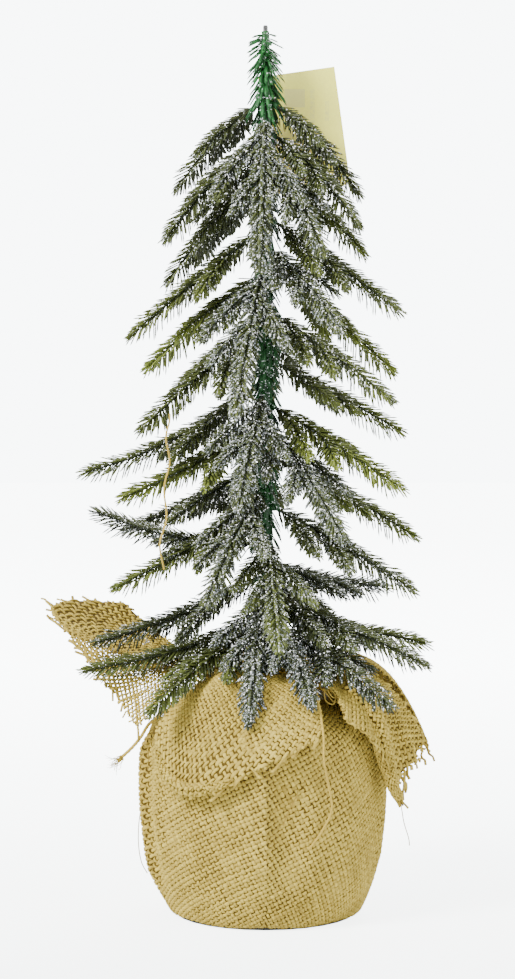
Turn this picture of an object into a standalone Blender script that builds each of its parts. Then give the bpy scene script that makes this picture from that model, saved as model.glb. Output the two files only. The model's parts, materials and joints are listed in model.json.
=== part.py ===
"""Artificial tabletop tree: a frosted mini pine on a wire trunk, its weighted base wrapped in burlap.

Run with: blender --background --python part.py
Metres, +Z up. The origin is the centre of the underside. The front of the tree faces -Y.
Directions round the tree are in degrees: 0 is right (+X), 90 is the back, 180 left and 270 the front.
"""
from math import cos, pi, radians, sin

import bmesh
import bpy
from mathutils import Matrix, Vector

# Overall
TREE_HEIGHT = 0.450
GAP = 0.0003            # between pieces that touch
COLLECTION = "tabletop_tree"

# Base: a plastic cup with a cement fill, a wadding ring, the cloth round them and a pad underneath
PAD_RADIUS = 0.0460
PAD_THICKNESS = 0.0012
BODY_RADIUS = 0.0600    # the cloth's outer radius where the base is widest
FOOT_RADIUS = 0.0470    # the cloth's outer radius where it turns under
BODY_HEIGHT = 0.1180    # up to the neck, where the cloth is tied
NECK_RADIUS = 0.0250
NECK_LENGTH = 0.0080    # the straight, gathered part of the neck
CLOTH_THICKNESS = 0.0012
CUP_HEIGHT = 0.0880
CUP_WALL = 0.0016
CEMENT_DEPTH = 0.0400

# Trunk
WIRE_RADIUS = 0.0012
WIRE_FOOT = 0.0120      # height of the wire's lower end, inside the cement
SLEEVE_RADIUS = 0.0040
SLEEVE_UNDER_NECK = 0.0115  # how far the sleeve runs down into the wadding
LEADER_LENGTH = 0.0350
LEADER_ROOT_RADIUS = 0.0042
LEADER_TIP_RADIUS = 0.0018
LEADER_NEEDLE = 0.0062
LEADER_ROWS = 8
WIRE_END = 0.0030       # how far the bare wire stands above the leader

# Branches
CROWN_OVER_NECK = 0.0125    # from the neck up to the lowest possible root
CROWN_DROP = 0.0020         # from the top of the sleeve down to the highest root
BRANCH_HINGE_OUT = 0.0016   # from the sleeve's surface to the bend in the stem
STEM_RADIUS = 0.0010
STEM_TIP_RADIUS = 0.0006
BARE_STEM = 0.0080          # the stem's length before its first needles
NEEDLE_LENGTH = 0.0058
NEEDLE_RISE = 0.0036        # length of the needles over and under the stem
NEEDLE_SWEEP = radians(48)
NEEDLE_ROWS = 8

# Neck tie
TIE_RADIUS = 0.0011

# Hang tag and the thread that ties it to the leader
TAG_WIDTH = 0.0390
TAG_HEIGHT = 0.0600
TAG_THICKNESS = 0.0005
TAG_HOLE_RADIUS = 0.0016
TAG_HOLE_EDGE = 0.0050      # from the hole's centre to the two nearest edges
TAG_LEAN = radians(8)
THREAD_RADIUS = 0.0004
THREAD_RING_GAP = 0.0008    # between the leader and the thread round it
THREAD_HEIGHT = 0.0018      # of the ring over the leader's foot

# Loose yarns
YARN_RADIUS = 0.0005
TIE_END_RADIUS = 0.0009

# Smoothness
TURN_STEPS = 28
LEADER_SIDES = 8
WIRE_SIDES = 10
SLEEVE_SIDES = 16
THREAD_RING_POINTS = 11
FLAP_ACROSS = 10
FLAP_ALONG = 7

LEADER_FOOT = TREE_HEIGHT - WIRE_END - LEADER_LENGTH
SLEEVE_TOP = LEADER_FOOT - GAP
HINGE_RADIUS = SLEEVE_RADIUS + BRANCH_HINGE_OUT
NECK_HEIGHT = PAD_THICKNESS + GAP + BODY_HEIGHT
SLEEVE_START = NECK_HEIGHT - SLEEVE_UNDER_NECK

# Each sprig of the crown: name, height of its root as a share of the crown, direction in degrees,
# how many millimetres its tip reaches from the trunk's axis, height of its tip as a share of the
# crown, and how many millimetres the stem arches above a straight line at its middle.
CROWN_BRANCHES = [
    ("left_01", 1.000, 158, 47, 0.856, 4),
    ("left_02", 0.930, 203, 53, 0.764, 4),
    ("left_03", 0.865, 163, 51, 0.685, 3),
    ("left_04", 0.770, 190, 67, 0.590, 1),
    ("left_05", 0.690, 155, 66, 0.524, 2),
    ("left_06", 0.605, 214, 73, 0.425, 1),
    ("left_07", 0.490, 180, 91, 0.339, -6),
    ("left_08", 0.425, 206, 78, 0.303, -3),
    ("left_09", 0.345, 158, 77, 0.223, -2),
    ("left_10", 0.205, 175, 86, 0.263, -5),
    ("left_11", 0.275, 197, 77, 0.138, -2),
    ("right_01", 1.000, 4, 46, 0.845, 5),
    ("right_02", 0.945, 338, 49, 0.787, 5),
    ("right_03", 0.870, 12, 50, 0.737, 4),
    ("right_04", 0.790, 345, 68, 0.632, 1),
    ("right_05", 0.710, 18, 68, 0.519, 1),
    ("right_06", 0.620, 334, 68, 0.476, 2),
    ("right_07", 0.535, 8, 69, 0.409, 1),
    ("right_08", 0.455, 331, 76, 0.318, 1),
    ("right_09", 0.370, 12, 77, 0.215, 1),
    ("right_10", 0.270, 338, 78, 0.133, 2),
    ("right_11", 0.165, 28, 70, 0.115, -2),
    ("front_01", 0.975, 266, 42, 0.712, 8),
    ("front_02", 0.900, 305, 48, 0.738, 6),
    ("front_03", 0.740, 308, 58, 0.603, 4),
    ("front_04", 0.700, 256, 60, 0.462, 6),
    ("front_05", 0.475, 258, 64, 0.295, 4),
    ("front_06", 0.420, 302, 70, 0.240, 3),
    ("front_07", 0.300, 244, 66, 0.120, 4),
    ("back_01", 0.905, 138, 48, 0.725, 4),
    ("back_02", 0.640, 88, 68, 0.467, 2),
    ("back_03", 0.350, 108, 78, 0.199, 1),
]
# The sprigs that lie over the cloth: the same, with the tip's reach counted from the body's side.
SKIRT_BRANCHES = [
    ("left_12", 0.140, 188, 25, 0.032, -3),
    ("left_13", 0.060, 197, 33, -0.012, -3),
    ("left_14", 0.050, 224, 18, -0.072, 4),
    ("right_12", 0.070, 2, 21, 0.020, 1),
    ("right_13", 0.100, 338, 24, -0.001, 2),
    ("right_14", 0.045, 318, 22, -0.063, 5),
    ("front_08", 0.210, 276, 0, 0.044, 5),
    ("front_09", 0.075, 291, 2, -0.055, 6),
    ("front_10", 0.110, 262, 0, -0.081, 9),
    ("back_04", 0.130, 72, 22, 0.036, 1),
]
# Collar flaps. Each is (from, to) along the neck in degrees, then the crest and the hem, as points
# from one side to the other: direction in degrees, and in millimetres how far the point lies
# outside the body's radius and above the neck.
FLAPS = {
    "collar_front": (
        (212, 302),
        [(214, -16, -1), (238, -13, 2), (262, -15, 1), (286, -14, 2), (302, -15, 3)],
        [(209, 5, -22), (222, 5, -42), (236, 7, -47), (256, 8, -41), (276, 8, -30), (295, 7, -20)],
    ),
    "collar_left": (
        (146, 208),
        [(148, -2, 10), (170, 2, 10), (190, -6, 7), (207, -12, 2)],
        [(156, 32, 36), (172, 51, 36), (183, 36, 18), (194, 18, -6), (205, 10, -22)],
    ),
    "collar_right": (
        (307, 352),
        [(309, -13, 3), (325, -9, 4), (340, -6, 2), (352, -5, 3)],
        [(306, 7, -12), (320, 10, -26), (336, 12, -46), (347, 17, -38), (356, 21, -32)],
    ),
    "collar_back": (
        (358, 142),
        [(1, -4, 6), (25, -2, 7), (60, 2, 8), (95, 2, 8), (125, 2, 8), (142, -2, 8)],
        [(4, 24, -36), (28, 24, -26), (55, 26, -16), (85, 22, -28), (115, 26, -10), (140, 24, 2)],
    ),
}

# Routes of the loose yarns, as points: direction in degrees, and in millimetres how far the point
# lies outside the body's radius and above the neck.
TIE_END_ROUTE = [
    (222, -30.0, -3.0), (215, -18.0, -5.5), (206, -7.0, -12.0), (200, 1.5, -19.0),
    (196, 5.5, -27.0), (194, 10.0, -33.0), (193, 16.5, -39.0),
]
FRONT_YARN_ROUTE = [
    (299, -11.0, 5.0), (297, -8.0, 2.4), (296, -2.0, -3.0), (295, 4.6, -11.6), (294, 9.8, -21.0),
    (294, 10.0, -31.0), (297, 8.0, -44.0), (300, 5.0, -57.0), (296, 2.8, -68.0), (290, 2.6, -76.0),
]
# The yarn caught on a branch: millimetres out from the branch's root, to its side, and up
CAUGHT_ON = "branch_left_06"
CAUGHT_YARN_ROUTE = [
    (57, 8.5, -43.0), (58, 9.5, -47.0), (59, 8.0, -55.0), (55, 5.0, -67.0), (57, 3.0, -80.0),
    (55, 2.0, -95.0), (58, 0.5, -108.0), (54, -2.0, -121.0),
]

# The tag's thread from the back of the trunk through the tag's hole and over its top edge, as
# millimetres right of the trunk's axis, behind it, and above the leader's foot
TAG_HOLE_PLACE = (2.0, 16.3, 8.8)
THREAD_ROUTE = [
    (-0.9, 9.0, 3.0), (-0.1, 12.4, 6.2), (1.1, 14.2, 8.0), TAG_HOLE_PLACE, (2.9, 18.4, 9.6),
    (3.3, 19.6, 12.0), (3.1, 18.9, 15.2), (2.7, 16.6, 16.8), (2.2, 13.4, 15.6), (1.6, 10.4, 11.4),
    (1.1, 8.0, 6.4), (0.9, 6.6, 3.2),
]

COLOURS = {
    "burlap": ((0.52, 0.37, 0.18), 0.95, 0.0),
    "jute": ((0.45, 0.30, 0.13), 0.95, 0.0),
    "black_felt": ((0.02, 0.02, 0.02), 0.95, 0.0),
    "cup_plastic": ((0.05, 0.05, 0.05), 0.55, 0.0),
    "cement": ((0.42, 0.41, 0.39), 0.95, 0.0),
    "wadding": ((0.80, 0.80, 0.78), 1.0, 0.0),
    "steel_wire": ((0.30, 0.30, 0.30), 0.45, 1.0),
    "green_sleeve": ((0.02, 0.16, 0.06), 0.60, 0.0),
    "leader_green": ((0.02, 0.28, 0.09), 0.50, 0.0),
    "frosted_green": ((0.16, 0.20, 0.13), 0.70, 0.0),
    "tag_paper": ((0.85, 0.79, 0.58), 0.80, 0.0),
    "clear_plastic": ((0.80, 0.80, 0.80), 0.25, 0.0),
}


def clear_scene():
    for obj in list(bpy.data.objects):
        bpy.data.objects.remove(obj, do_unlink=True)


def material(name):
    """The named Principled material, made once."""
    found = bpy.data.materials.get(name)
    if found:
        return found
    colour, roughness, metallic = COLOURS[name]
    made = bpy.data.materials.new(name)
    made.use_nodes = True
    shader = made.node_tree.nodes["Principled BSDF"]
    shader.inputs["Base Color"].default_value = (*colour, 1.0)
    shader.inputs["Roughness"].default_value = roughness
    shader.inputs["Metallic"].default_value = metallic
    made.diffuse_color = (*colour, 1.0)
    return made


def add_object(name, data, material_name):
    """Link a new object with its material into the tree's collection."""
    obj = bpy.data.objects.new(name, data)
    data.materials.append(material(material_name))
    bpy.data.collections[COLLECTION].objects.link(obj)
    return obj


def mesh_from(bm, name):
    mesh = bpy.data.meshes.new(name)
    bm.to_mesh(mesh)
    bm.free()
    return mesh


def turned(name, profile, material_name, closed=False, steps=TURN_STEPS):
    """A profile of (radius, height) points turned round the Z axis by a Screw modifier."""
    bm = bmesh.new()
    verts = [bm.verts.new((radius, 0.0, height)) for radius, height in profile]
    for first, second in zip(verts, verts[1:]):
        bm.edges.new((first, second))
    if closed:
        bm.edges.new((verts[-1], verts[0]))
    mesh = bpy.data.meshes.new(name)
    bm.to_mesh(mesh)
    bm.free()
    obj = add_object(name, mesh, material_name)
    screw = obj.modifiers.new("turn", "SCREW")
    screw.steps = steps
    screw.render_steps = steps
    screw.use_merge_vertices = True
    screw.merge_threshold = 0.00005
    screw.use_smooth_shade = True
    return obj


def applied(obj):
    """Replace an object's mesh by what its modifiers give."""
    graph = bpy.context.evaluated_depsgraph_get()
    mesh = bpy.data.meshes.new_from_object(obj.evaluated_get(graph))
    obj.modifiers.clear()
    obj.data = mesh
    return obj


def tube(name, points, radius, material_name):
    """A round yarn or wire along points, as a poly curve with closed ends."""
    curve = bpy.data.curves.new(name, "CURVE")
    curve.dimensions = "3D"
    curve.bevel_depth = radius
    curve.bevel_resolution = 2
    curve.use_fill_caps = True
    spline = curve.splines.new("POLY")
    spline.points.add(len(points) - 1)
    for target, point in zip(spline.points, points):
        target.co = (*point, 1.0)
    return add_object(name, curve, material_name)


def along(points, share):
    """The point at a share 0 to 1 of a smooth curve through the points (Catmull-Rom)."""
    place = min(max(share, 0.0), 1.0) * (len(points) - 1)
    index = min(int(place), len(points) - 2)
    t = place - index
    before = points[max(index - 1, 0)]
    start = points[index]
    end = points[index + 1]
    after = points[min(index + 2, len(points) - 1)]
    value = []
    for a, b, c, d in zip(before, start, end, after):
        value.append(0.5 * (2 * b + (c - a) * t + (2 * a - 5 * b + 4 * c - d) * t * t
                            + (3 * b - a - 3 * c + d) * t ** 3))
    return value


def smooth_route(points, count):
    return [Vector(along(points, i / (count - 1))) for i in range(count)]


def near_body(direction, outside, above):
    """A point given by its direction and its millimetres outside the body and above the neck."""
    radius = BODY_RADIUS + outside / 1000
    angle = radians(direction)
    return Vector((radius * cos(angle), radius * sin(angle), NECK_HEIGHT + above / 1000))


def body_outline():
    """The base's outer face from the middle of its underside up to the neck."""
    foot = PAD_THICKNESS + GAP
    shares = [(0.000, 0.00), (0.015, 0.14), (0.055, 0.33), (0.130, 0.56), (0.270, 0.84),
              (0.420, 0.97), (0.520, 1.00), (0.640, 0.99), (0.760, 0.92)]
    side = [(0.0, foot)]
    for up, out in shares:
        side.append((FOOT_RADIUS + (BODY_RADIUS - FOOT_RADIUS) * out, foot + BODY_HEIGHT * up))
    shoulder_radius, shoulder_height = side[-1]
    neck_foot = NECK_HEIGHT - NECK_LENGTH
    for turn in (25, 45, 65, 82):
        inward = 1 - cos(radians(turn))
        upward = sin(radians(turn))
        side.append((shoulder_radius + (NECK_RADIUS - shoulder_radius) * inward,
                     shoulder_height + (neck_foot - shoulder_height) * upward))
    side.append((NECK_RADIUS, neck_foot))
    side.append((NECK_RADIUS, NECK_HEIGHT))
    return side


def inset_outline(inset):
    """The body outline moved inward by a distance, square to its face."""
    outline = body_outline()
    moved = []
    for index, (radius, height) in enumerate(outline):
        before = Vector(outline[max(index - 1, 0)])
        here = Vector((radius, height))
        after = Vector(outline[min(index + 1, len(outline) - 1)])
        arriving = (here - before).normalized() if index else (after - here).normalized()
        leaving = (after - here).normalized() if index < len(outline) - 1 else arriving
        along_side = (arriving + leaving).normalized()
        stretch = 1 / max(along_side.dot(arriving), 0.5)
        inward = Vector((-along_side.y, along_side.x))
        moved.append(tuple(here + inward * inset * stretch))
    return moved


def cut_below(side, height):
    """The part of a side under a height, ending on it."""
    kept = [point for point in side if point[1] < height - 0.0005]
    return kept + [(radius_at(side, height), height)]


def cut_above(side, height):
    """The part of a side over a height, starting on it."""
    kept = [point for point in side if point[1] > height + 0.0005]
    return [(radius_at(side, height), height)] + kept


def radius_at(side, height):
    """The radius of a side at a height, on the straight line between its points."""
    for (r0, z0), (r1, z1) in zip(side, side[1:]):
        if z0 <= height <= z1 and z1 > z0:
            return r0 + (r1 - r0) * (height - z0) / (z1 - z0)
    nearest = min(side, key=lambda point: abs(point[1] - height))
    return nearest[0]


def build_base():
    """Pad, cloth, cup, cement and wadding, from the outside in."""
    turned("base_pad", [(0, PAD_THICKNESS), (PAD_RADIUS, PAD_THICKNESS), (PAD_RADIUS, 0), (0, 0)],
           "black_felt")
    turned("burlap_wrap", inset_outline(CLOTH_THICKNESS) + body_outline()[::-1], "burlap")

    cup_inset = CLOTH_THICKNESS + GAP
    cup_outside = cut_below(inset_outline(cup_inset), CUP_HEIGHT)
    cup_inside = cut_below(inset_outline(cup_inset + CUP_WALL), CUP_HEIGHT)
    turned("base_cup", cup_inside + cup_outside[::-1], "cup_plastic")

    filling = inset_outline(cup_inset + CUP_WALL + GAP)
    bore = WIRE_RADIUS + GAP
    fill_foot = filling[0][1]
    fill_top = fill_foot + CEMENT_DEPTH
    fill = [(bore, fill_foot)] + cut_below(filling, fill_top)[1:] + [(bore, fill_top)]
    turned("cement_fill", fill[::-1], "cement", closed=True)

    sleeve_bore = SLEEVE_RADIUS + GAP
    wadding = [(bore, fill_top + GAP)] + cut_above(filling, fill_top + GAP)
    wadding += [(sleeve_bore, NECK_HEIGHT), (sleeve_bore, SLEEVE_START - GAP), (bore, SLEEVE_START - GAP)]
    turned("wadding_ring", wadding[::-1], "wadding", closed=True)


def build_flap(name):
    """A cloth flap from the neck over a crest to its hem."""
    (start, end), crest, hem = FLAPS[name]
    if end < start:
        end += 360
    bm = bmesh.new()
    bmesh.ops.create_grid(bm, x_segments=FLAP_ACROSS, y_segments=FLAP_ALONG, size=0.5)
    crest = unwrapped(crest)
    hem = unwrapped(hem)
    for vert in bm.verts:
        across = vert.co.x + 0.5
        out = vert.co.y + 0.5
        angle = radians(start + (end - start) * across)
        radius = NECK_RADIUS - CLOTH_THICKNESS / 2
        root = Vector((radius * cos(angle), radius * sin(angle), NECK_HEIGHT + CLOTH_THICKNESS / 2 + GAP))
        middle = near_body(*along(crest, across))
        edge = near_body(*along(hem, across))
        control = middle * 2 - (root + edge) / 2
        vert.co = root * (1 - out) ** 2 + control * 2 * out * (1 - out) + edge * out ** 2
    mesh = mesh_from(bm, name)
    obj = add_object(name, mesh, "burlap")
    thick = obj.modifiers.new("cloth", "SOLIDIFY")
    thick.thickness = CLOTH_THICKNESS
    thick.offset = 0.0
    thick.use_even_offset = False
    for face in mesh.polygons:
        face.use_smooth = True
    return obj


def unwrapped(points):
    """The same points with directions that never jump back by a full turn."""
    result = []
    turn = 0
    for direction, outside, above in points:
        if result and direction + turn < result[-1][0] - 180:
            turn += 360
        result.append((direction + turn, outside, above))
    return result


def build_neck_tie():
    """Jute twine round the gathered neck."""
    bpy.ops.mesh.primitive_torus_add(
        major_radius=NECK_RADIUS + TIE_RADIUS + GAP, minor_radius=TIE_RADIUS,
        major_segments=32, minor_segments=8, location=(0, 0, NECK_HEIGHT - TIE_RADIUS - 2 * GAP))
    obj = bpy.context.object
    obj.name = "neck_tie"
    obj.data.materials.append(material("jute"))
    for collection in list(obj.users_collection):
        collection.objects.unlink(obj)
    bpy.data.collections[COLLECTION].objects.link(obj)
    return obj


def build_trunk():
    """Steel wire core and the green sleeve over it."""
    wire = [(0, TREE_HEIGHT), (WIRE_RADIUS * 0.7, TREE_HEIGHT), (WIRE_RADIUS, TREE_HEIGHT - 0.0006),
            (WIRE_RADIUS, WIRE_FOOT), (0, WIRE_FOOT)]
    turned("trunk_wire", wire, "steel_wire", steps=WIRE_SIDES)
    bore = WIRE_RADIUS + GAP
    sleeve = [(bore, SLEEVE_TOP), (SLEEVE_RADIUS, SLEEVE_TOP), (SLEEVE_RADIUS, SLEEVE_START),
              (bore, SLEEVE_START)]
    turned("trunk_sleeve", sleeve, "green_sleeve", closed=True, steps=SLEEVE_SIDES)


def build_leader():
    """The bare green top, a short sleeve with rows of needles that point out and down."""
    bore = WIRE_RADIUS + GAP
    top = LEADER_FOOT + LEADER_LENGTH
    outside = []
    for row in range(LEADER_ROWS + 1):
        share = row / LEADER_ROWS
        radius = LEADER_TIP_RADIUS + (LEADER_ROOT_RADIUS - LEADER_TIP_RADIUS) * share
        outside.append((radius, top - LEADER_LENGTH * share))
    obj = turned("top_leader", outside + [(bore, LEADER_FOOT), (bore, top)], "leader_green",
                 closed=True, steps=LEADER_SIDES)
    applied(obj)
    bm = bmesh.new()
    bm.from_mesh(obj.data)
    bmesh.ops.recalc_face_normals(bm, faces=bm.faces)
    sides = []
    for face in bm.faces:
        centre = face.calc_center_median()
        flat = Vector((centre.x, centre.y, 0))
        if flat.length > bore * 1.05 and face.normal.dot(flat.normalized()) > 0.7:
            sides.append(face)
    for face in sides:
        centre = face.calc_center_median()
        out = Vector((centre.x, centre.y, 0)).normalized()
        low = (top - centre.z) / LEADER_LENGTH
        if low > (LEADER_ROWS - 1) / LEADER_ROWS:
            continue
        length = LEADER_NEEDLE * (0.45 + 0.55 * low)
        reach = centre + out * length * 0.75 + Vector((0, 0, -length * 0.65 * low))
        poked = bmesh.ops.poke(bm, faces=[face])
        poked["verts"][0].co = reach
    mesh = mesh_from(bm, "top_leader")
    mesh.materials.append(material("leader_green"))
    obj.data = mesh


def stem_point(reach, drop, arch, share):
    """A point of a branch's stem in its own frame: x out from the root, z up."""
    control_x = reach * 0.5
    control_z = -drop * 0.5 + 2 * arch
    x = 2 * control_x * share * (1 - share) + reach * share ** 2
    z = 2 * control_z * share * (1 - share) - drop * share ** 2
    return Vector((x, 0.0, z))


def build_branch(name, level, direction, tip_radius, tip_level, arch):
    """A moulded sprig: a bending stem with needles swept forward on all four sides."""
    lowest = NECK_HEIGHT + CROWN_OVER_NECK
    crown = SLEEVE_TOP - CROWN_DROP - lowest
    reach = tip_radius - HINGE_RADIUS
    shape = (reach, (level - tip_level) * crown, arch / 1000)
    bm = bmesh.new()
    bmesh.ops.create_cone(bm, cap_ends=True, segments=4, radius1=0.5, radius2=0.5, depth=1.0)
    bmesh.ops.rotate(bm, verts=bm.verts, cent=(0, 0, 0), matrix=Matrix.Rotation(pi / 4, 3, "Z"))
    length = (reach ** 2 + shape[1] ** 2) ** 0.5
    bare = BARE_STEM / length
    cuts = [bare + (1 - bare) * row / NEEDLE_ROWS for row in range(NEEDLE_ROWS)]
    for cut in cuts:
        geometry = bm.verts[:] + bm.edges[:] + bm.faces[:]
        bmesh.ops.bisect_plane(bm, geom=geometry, plane_co=(0, 0, cut - 0.5), plane_no=(0, 0, 1))
    start = -STEM_RADIUS / reach
    for vert in bm.verts:
        share = vert.co.z + 0.5
        thick = STEM_RADIUS + (STEM_TIP_RADIUS - STEM_RADIUS) * share
        at = max(share, start) if share > 0 else start
        centre = stem_point(*shape, at)
        ahead = (stem_point(*shape, at + 0.01) - stem_point(*shape, at - 0.01)).normalized()
        side = Vector((0, 1, 0))
        up = ahead.cross(side)
        vert.co = centre + (side * vert.co.x + up * vert.co.y) * thick * 2
    bm.normal_update()
    add_needles(bm, shape, bare)
    mesh = mesh_from(bm, "branch_" + name)
    obj = add_object("branch_" + name, mesh, "frosted_green")
    angle = radians(direction)
    obj.location = (HINGE_RADIUS * cos(angle), HINGE_RADIUS * sin(angle), lowest + crown * level)
    obj.rotation_euler = (0, 0, angle)
    return obj


def add_needles(bm, shape, bare):
    """Draw each side face of the stem out into a needle that leans toward the tip."""
    reach = shape[0]
    for face in list(bm.faces):
        centre = face.calc_center_median()
        share = centre.x / reach
        if share < bare * 0.8 or len(face.verts) != 4:
            continue
        ahead = (stem_point(*shape, share + 0.01) - stem_point(*shape, share - 0.01)).normalized()
        normal = face.normal.copy()
        if abs(normal.dot(ahead)) > 0.7:
            continue
        sideways = abs(normal.y) > 0.7
        length = NEEDLE_LENGTH if sideways else NEEDLE_RISE
        length *= 1.0 - 0.35 * max(0.0, share - 0.6) / 0.4
        poked = bmesh.ops.poke(bm, faces=[face])
        lean = normal * cos(NEEDLE_SWEEP) + ahead * sin(NEEDLE_SWEEP)
        poked["verts"][0].co = centre + lean * length


def from_leader_foot(point):
    """A point given in millimetres from the leader's foot."""
    return Vector(point) / 1000 + Vector((0, 0, LEADER_FOOT))


def build_tag_thread():
    """A closed thread: a ring round the leader's foot, and a bight through the tag's hole."""
    radius = LEADER_ROOT_RADIUS + THREAD_RING_GAP + THREAD_RADIUS
    ring = []
    for step in range(THREAD_RING_POINTS):
        angle = radians(80 - 340 * step / (THREAD_RING_POINTS - 1))
        ring.append(Vector((radius * cos(angle), radius * sin(angle), LEADER_FOOT + THREAD_HEIGHT)))
    bight = [ring[-1]] + [from_leader_foot(point) for point in THREAD_ROUTE] + [ring[0]]
    points = ring + smooth_route(bight, 36)[1:-1]
    thread = tube("tag_thread", points, THREAD_RADIUS, "clear_plastic")
    thread.data.splines[0].use_cyclic_u = True
    thread.data.use_fill_caps = False


def build_tag():
    """A paper tag hung by a hole in its upper left corner."""
    left = -TAG_HOLE_EDGE
    top = TAG_HOLE_EDGE
    curve = bpy.data.curves.new("hang_tag_outline", "CURVE")
    curve.dimensions = "2D"
    curve.fill_mode = "BOTH"
    curve.extrude = TAG_THICKNESS / 2
    border = curve.splines.new("POLY")
    corners = [(left, top), (left, top - TAG_HEIGHT), (left + TAG_WIDTH, top - TAG_HEIGHT),
               (left + TAG_WIDTH, top)]
    border.points.add(3)
    for target, corner in zip(border.points, corners):
        target.co = (*corner, 0, 1)
    border.use_cyclic_u = True
    sides = 16
    hole = curve.splines.new("POLY")
    hole.points.add(sides - 1)
    for index, target in enumerate(hole.points):
        angle = 2 * pi * index / sides
        target.co = (TAG_HOLE_RADIUS * cos(angle), TAG_HOLE_RADIUS * sin(angle), 0, 1)
    hole.use_cyclic_u = True
    tag = add_object("hang_tag", curve, "tag_paper")
    tag.location = from_leader_foot(TAG_HOLE_PLACE)
    tag.rotation_euler = (pi / 2, -TAG_LEAN, 0)


def build_yarns():
    """The tie's loose end, the yarn over the front and the yarn caught on a branch."""
    tie = [near_body(*point) for point in TIE_END_ROUTE]
    tube("tie_end", smooth_route(tie, 24), TIE_END_RADIUS, "jute")
    front = [near_body(*point) for point in FRONT_YARN_ROUTE]
    tube("loose_yarn_front", smooth_route(front, 38), YARN_RADIUS, "jute")
    holder = bpy.data.objects[CAUGHT_ON]
    bpy.context.view_layer.update()
    route = [holder.matrix_world @ (Vector(point) / 1000) for point in CAUGHT_YARN_ROUTE]
    tube("loose_yarn_branch", smooth_route(route, 36), YARN_RADIUS, "jute")


def main():
    clear_scene()
    collection = bpy.data.collections.new(COLLECTION)
    bpy.context.scene.collection.children.link(collection)
    build_base()
    for name in FLAPS:
        build_flap(name)
    build_neck_tie()
    build_trunk()
    build_leader()
    for name, level, direction, reach, tip_level, arch in CROWN_BRANCHES:
        build_branch(name, level, direction, reach / 1000, tip_level, arch)
    for name, level, direction, reach, tip_level, arch in SKIRT_BRANCHES:
        build_branch(name, level, direction, BODY_RADIUS + reach / 1000, tip_level, arch)
    build_tag_thread()
    build_tag()
    build_yarns()


main()
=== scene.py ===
"""The looks of the tabletop tree: frosted sprigs on a green trunk, in a base wrapped in burlap."""
import json
from math import cos, pi, radians, sin

import bpy
import numpy as np
from bpy.props import FloatProperty, FloatVectorProperty, IntProperty, PointerProperty
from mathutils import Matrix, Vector


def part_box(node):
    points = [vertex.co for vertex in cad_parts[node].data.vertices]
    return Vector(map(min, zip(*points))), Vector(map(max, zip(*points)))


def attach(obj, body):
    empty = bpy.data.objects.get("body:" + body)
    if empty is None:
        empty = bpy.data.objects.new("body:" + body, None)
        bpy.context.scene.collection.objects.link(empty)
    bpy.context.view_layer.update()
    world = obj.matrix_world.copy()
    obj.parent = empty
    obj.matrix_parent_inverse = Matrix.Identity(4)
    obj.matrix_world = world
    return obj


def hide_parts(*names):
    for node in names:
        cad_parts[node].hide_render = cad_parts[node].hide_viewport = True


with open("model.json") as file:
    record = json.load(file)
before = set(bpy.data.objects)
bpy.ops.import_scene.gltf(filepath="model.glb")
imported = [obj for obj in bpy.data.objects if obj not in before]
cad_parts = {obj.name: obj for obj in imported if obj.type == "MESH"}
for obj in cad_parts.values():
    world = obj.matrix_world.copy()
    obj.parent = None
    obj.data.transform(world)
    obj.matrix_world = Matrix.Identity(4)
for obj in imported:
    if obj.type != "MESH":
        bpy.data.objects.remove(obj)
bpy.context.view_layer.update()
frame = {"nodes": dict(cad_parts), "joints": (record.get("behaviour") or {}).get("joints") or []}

bl_info = {
    "name": "Tabletop tree looks",
    "version": (1, 0, 0),
    "blender": (4, 5, 0),
    "location": "View3D > Sidebar > Tree",
    "description": "Dresses the tree's frame with needles, woven cloth, twine and paper",
    "category": "Object",
}

# Places that come from the frame
BODY_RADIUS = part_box("burlap_wrap")[1][0]
NECK_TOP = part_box("burlap_wrap")[1][2]
LEADER_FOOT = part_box("top_leader")[0][2]
LEADER_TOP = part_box("top_leader")[1][2]
SLEEVE_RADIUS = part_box("trunk_sleeve")[1][0]
SLEEVE_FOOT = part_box("trunk_sleeve")[0][2]
SLEEVE_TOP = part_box("trunk_sleeve")[1][2]
NECK_RADIUS = 0.0250
CLOTH_THICKNESS = 0.0012
STEM_RADIUS = 0.0010
GAP = 0.0003             # between the frame's pieces that touch
UP = np.array([0.0, 0.0, 1.0])

# Sizes of the pieces made here
FLAKE_SIZE = 0.00062
SHORT_SPRIG = 0.030      # a sprig below this length has no side twigs
SHADE_SHEET_CELL = 0.0025
SHADE_SHEET_THICKNESS = 0.0004
ROLL_PITCH = 0.0021
ROLL_TURN = 38
STUB_REACH = 0.0019      # half the length of a sprig's stub on the trunk

# Routes of the loose yarns, the same as the frame's: direction in degrees, then millimetres outside
# the body's radius and above the neck.
TIE_END_ROUTE = [
    (222, -30.0, -3.0), (215, -18.0, -5.5), (206, -7.0, -12.0), (200, 1.5, -19.0),
    (196, 5.5, -27.0), (194, 10.0, -33.0), (193, 16.5, -39.0),
]
FRONT_YARN_ROUTE = [
    (299, -11.0, 5.0), (297, -8.0, 2.4), (296, -2.0, -3.0), (295, 4.6, -11.6), (294, 9.8, -21.0),
    (294, 10.0, -31.0), (297, 8.0, -44.0), (300, 5.0, -57.0), (296, 2.8, -68.0), (290, 2.6, -76.0),
]
# The yarn caught on a sprig: millimetres out from the sprig's root, to its side, and up
CAUGHT_ON = "sprig_left_06"
CAUGHT_YARN_ROUTE = [
    (57, 8.5, -43.0), (58, 9.5, -47.0), (59, 8.0, -55.0), (55, 5.0, -67.0), (57, 3.0, -80.0),
    (55, 2.0, -95.0), (58, 0.5, -108.0), (54, -2.0, -121.0),
]

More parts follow.
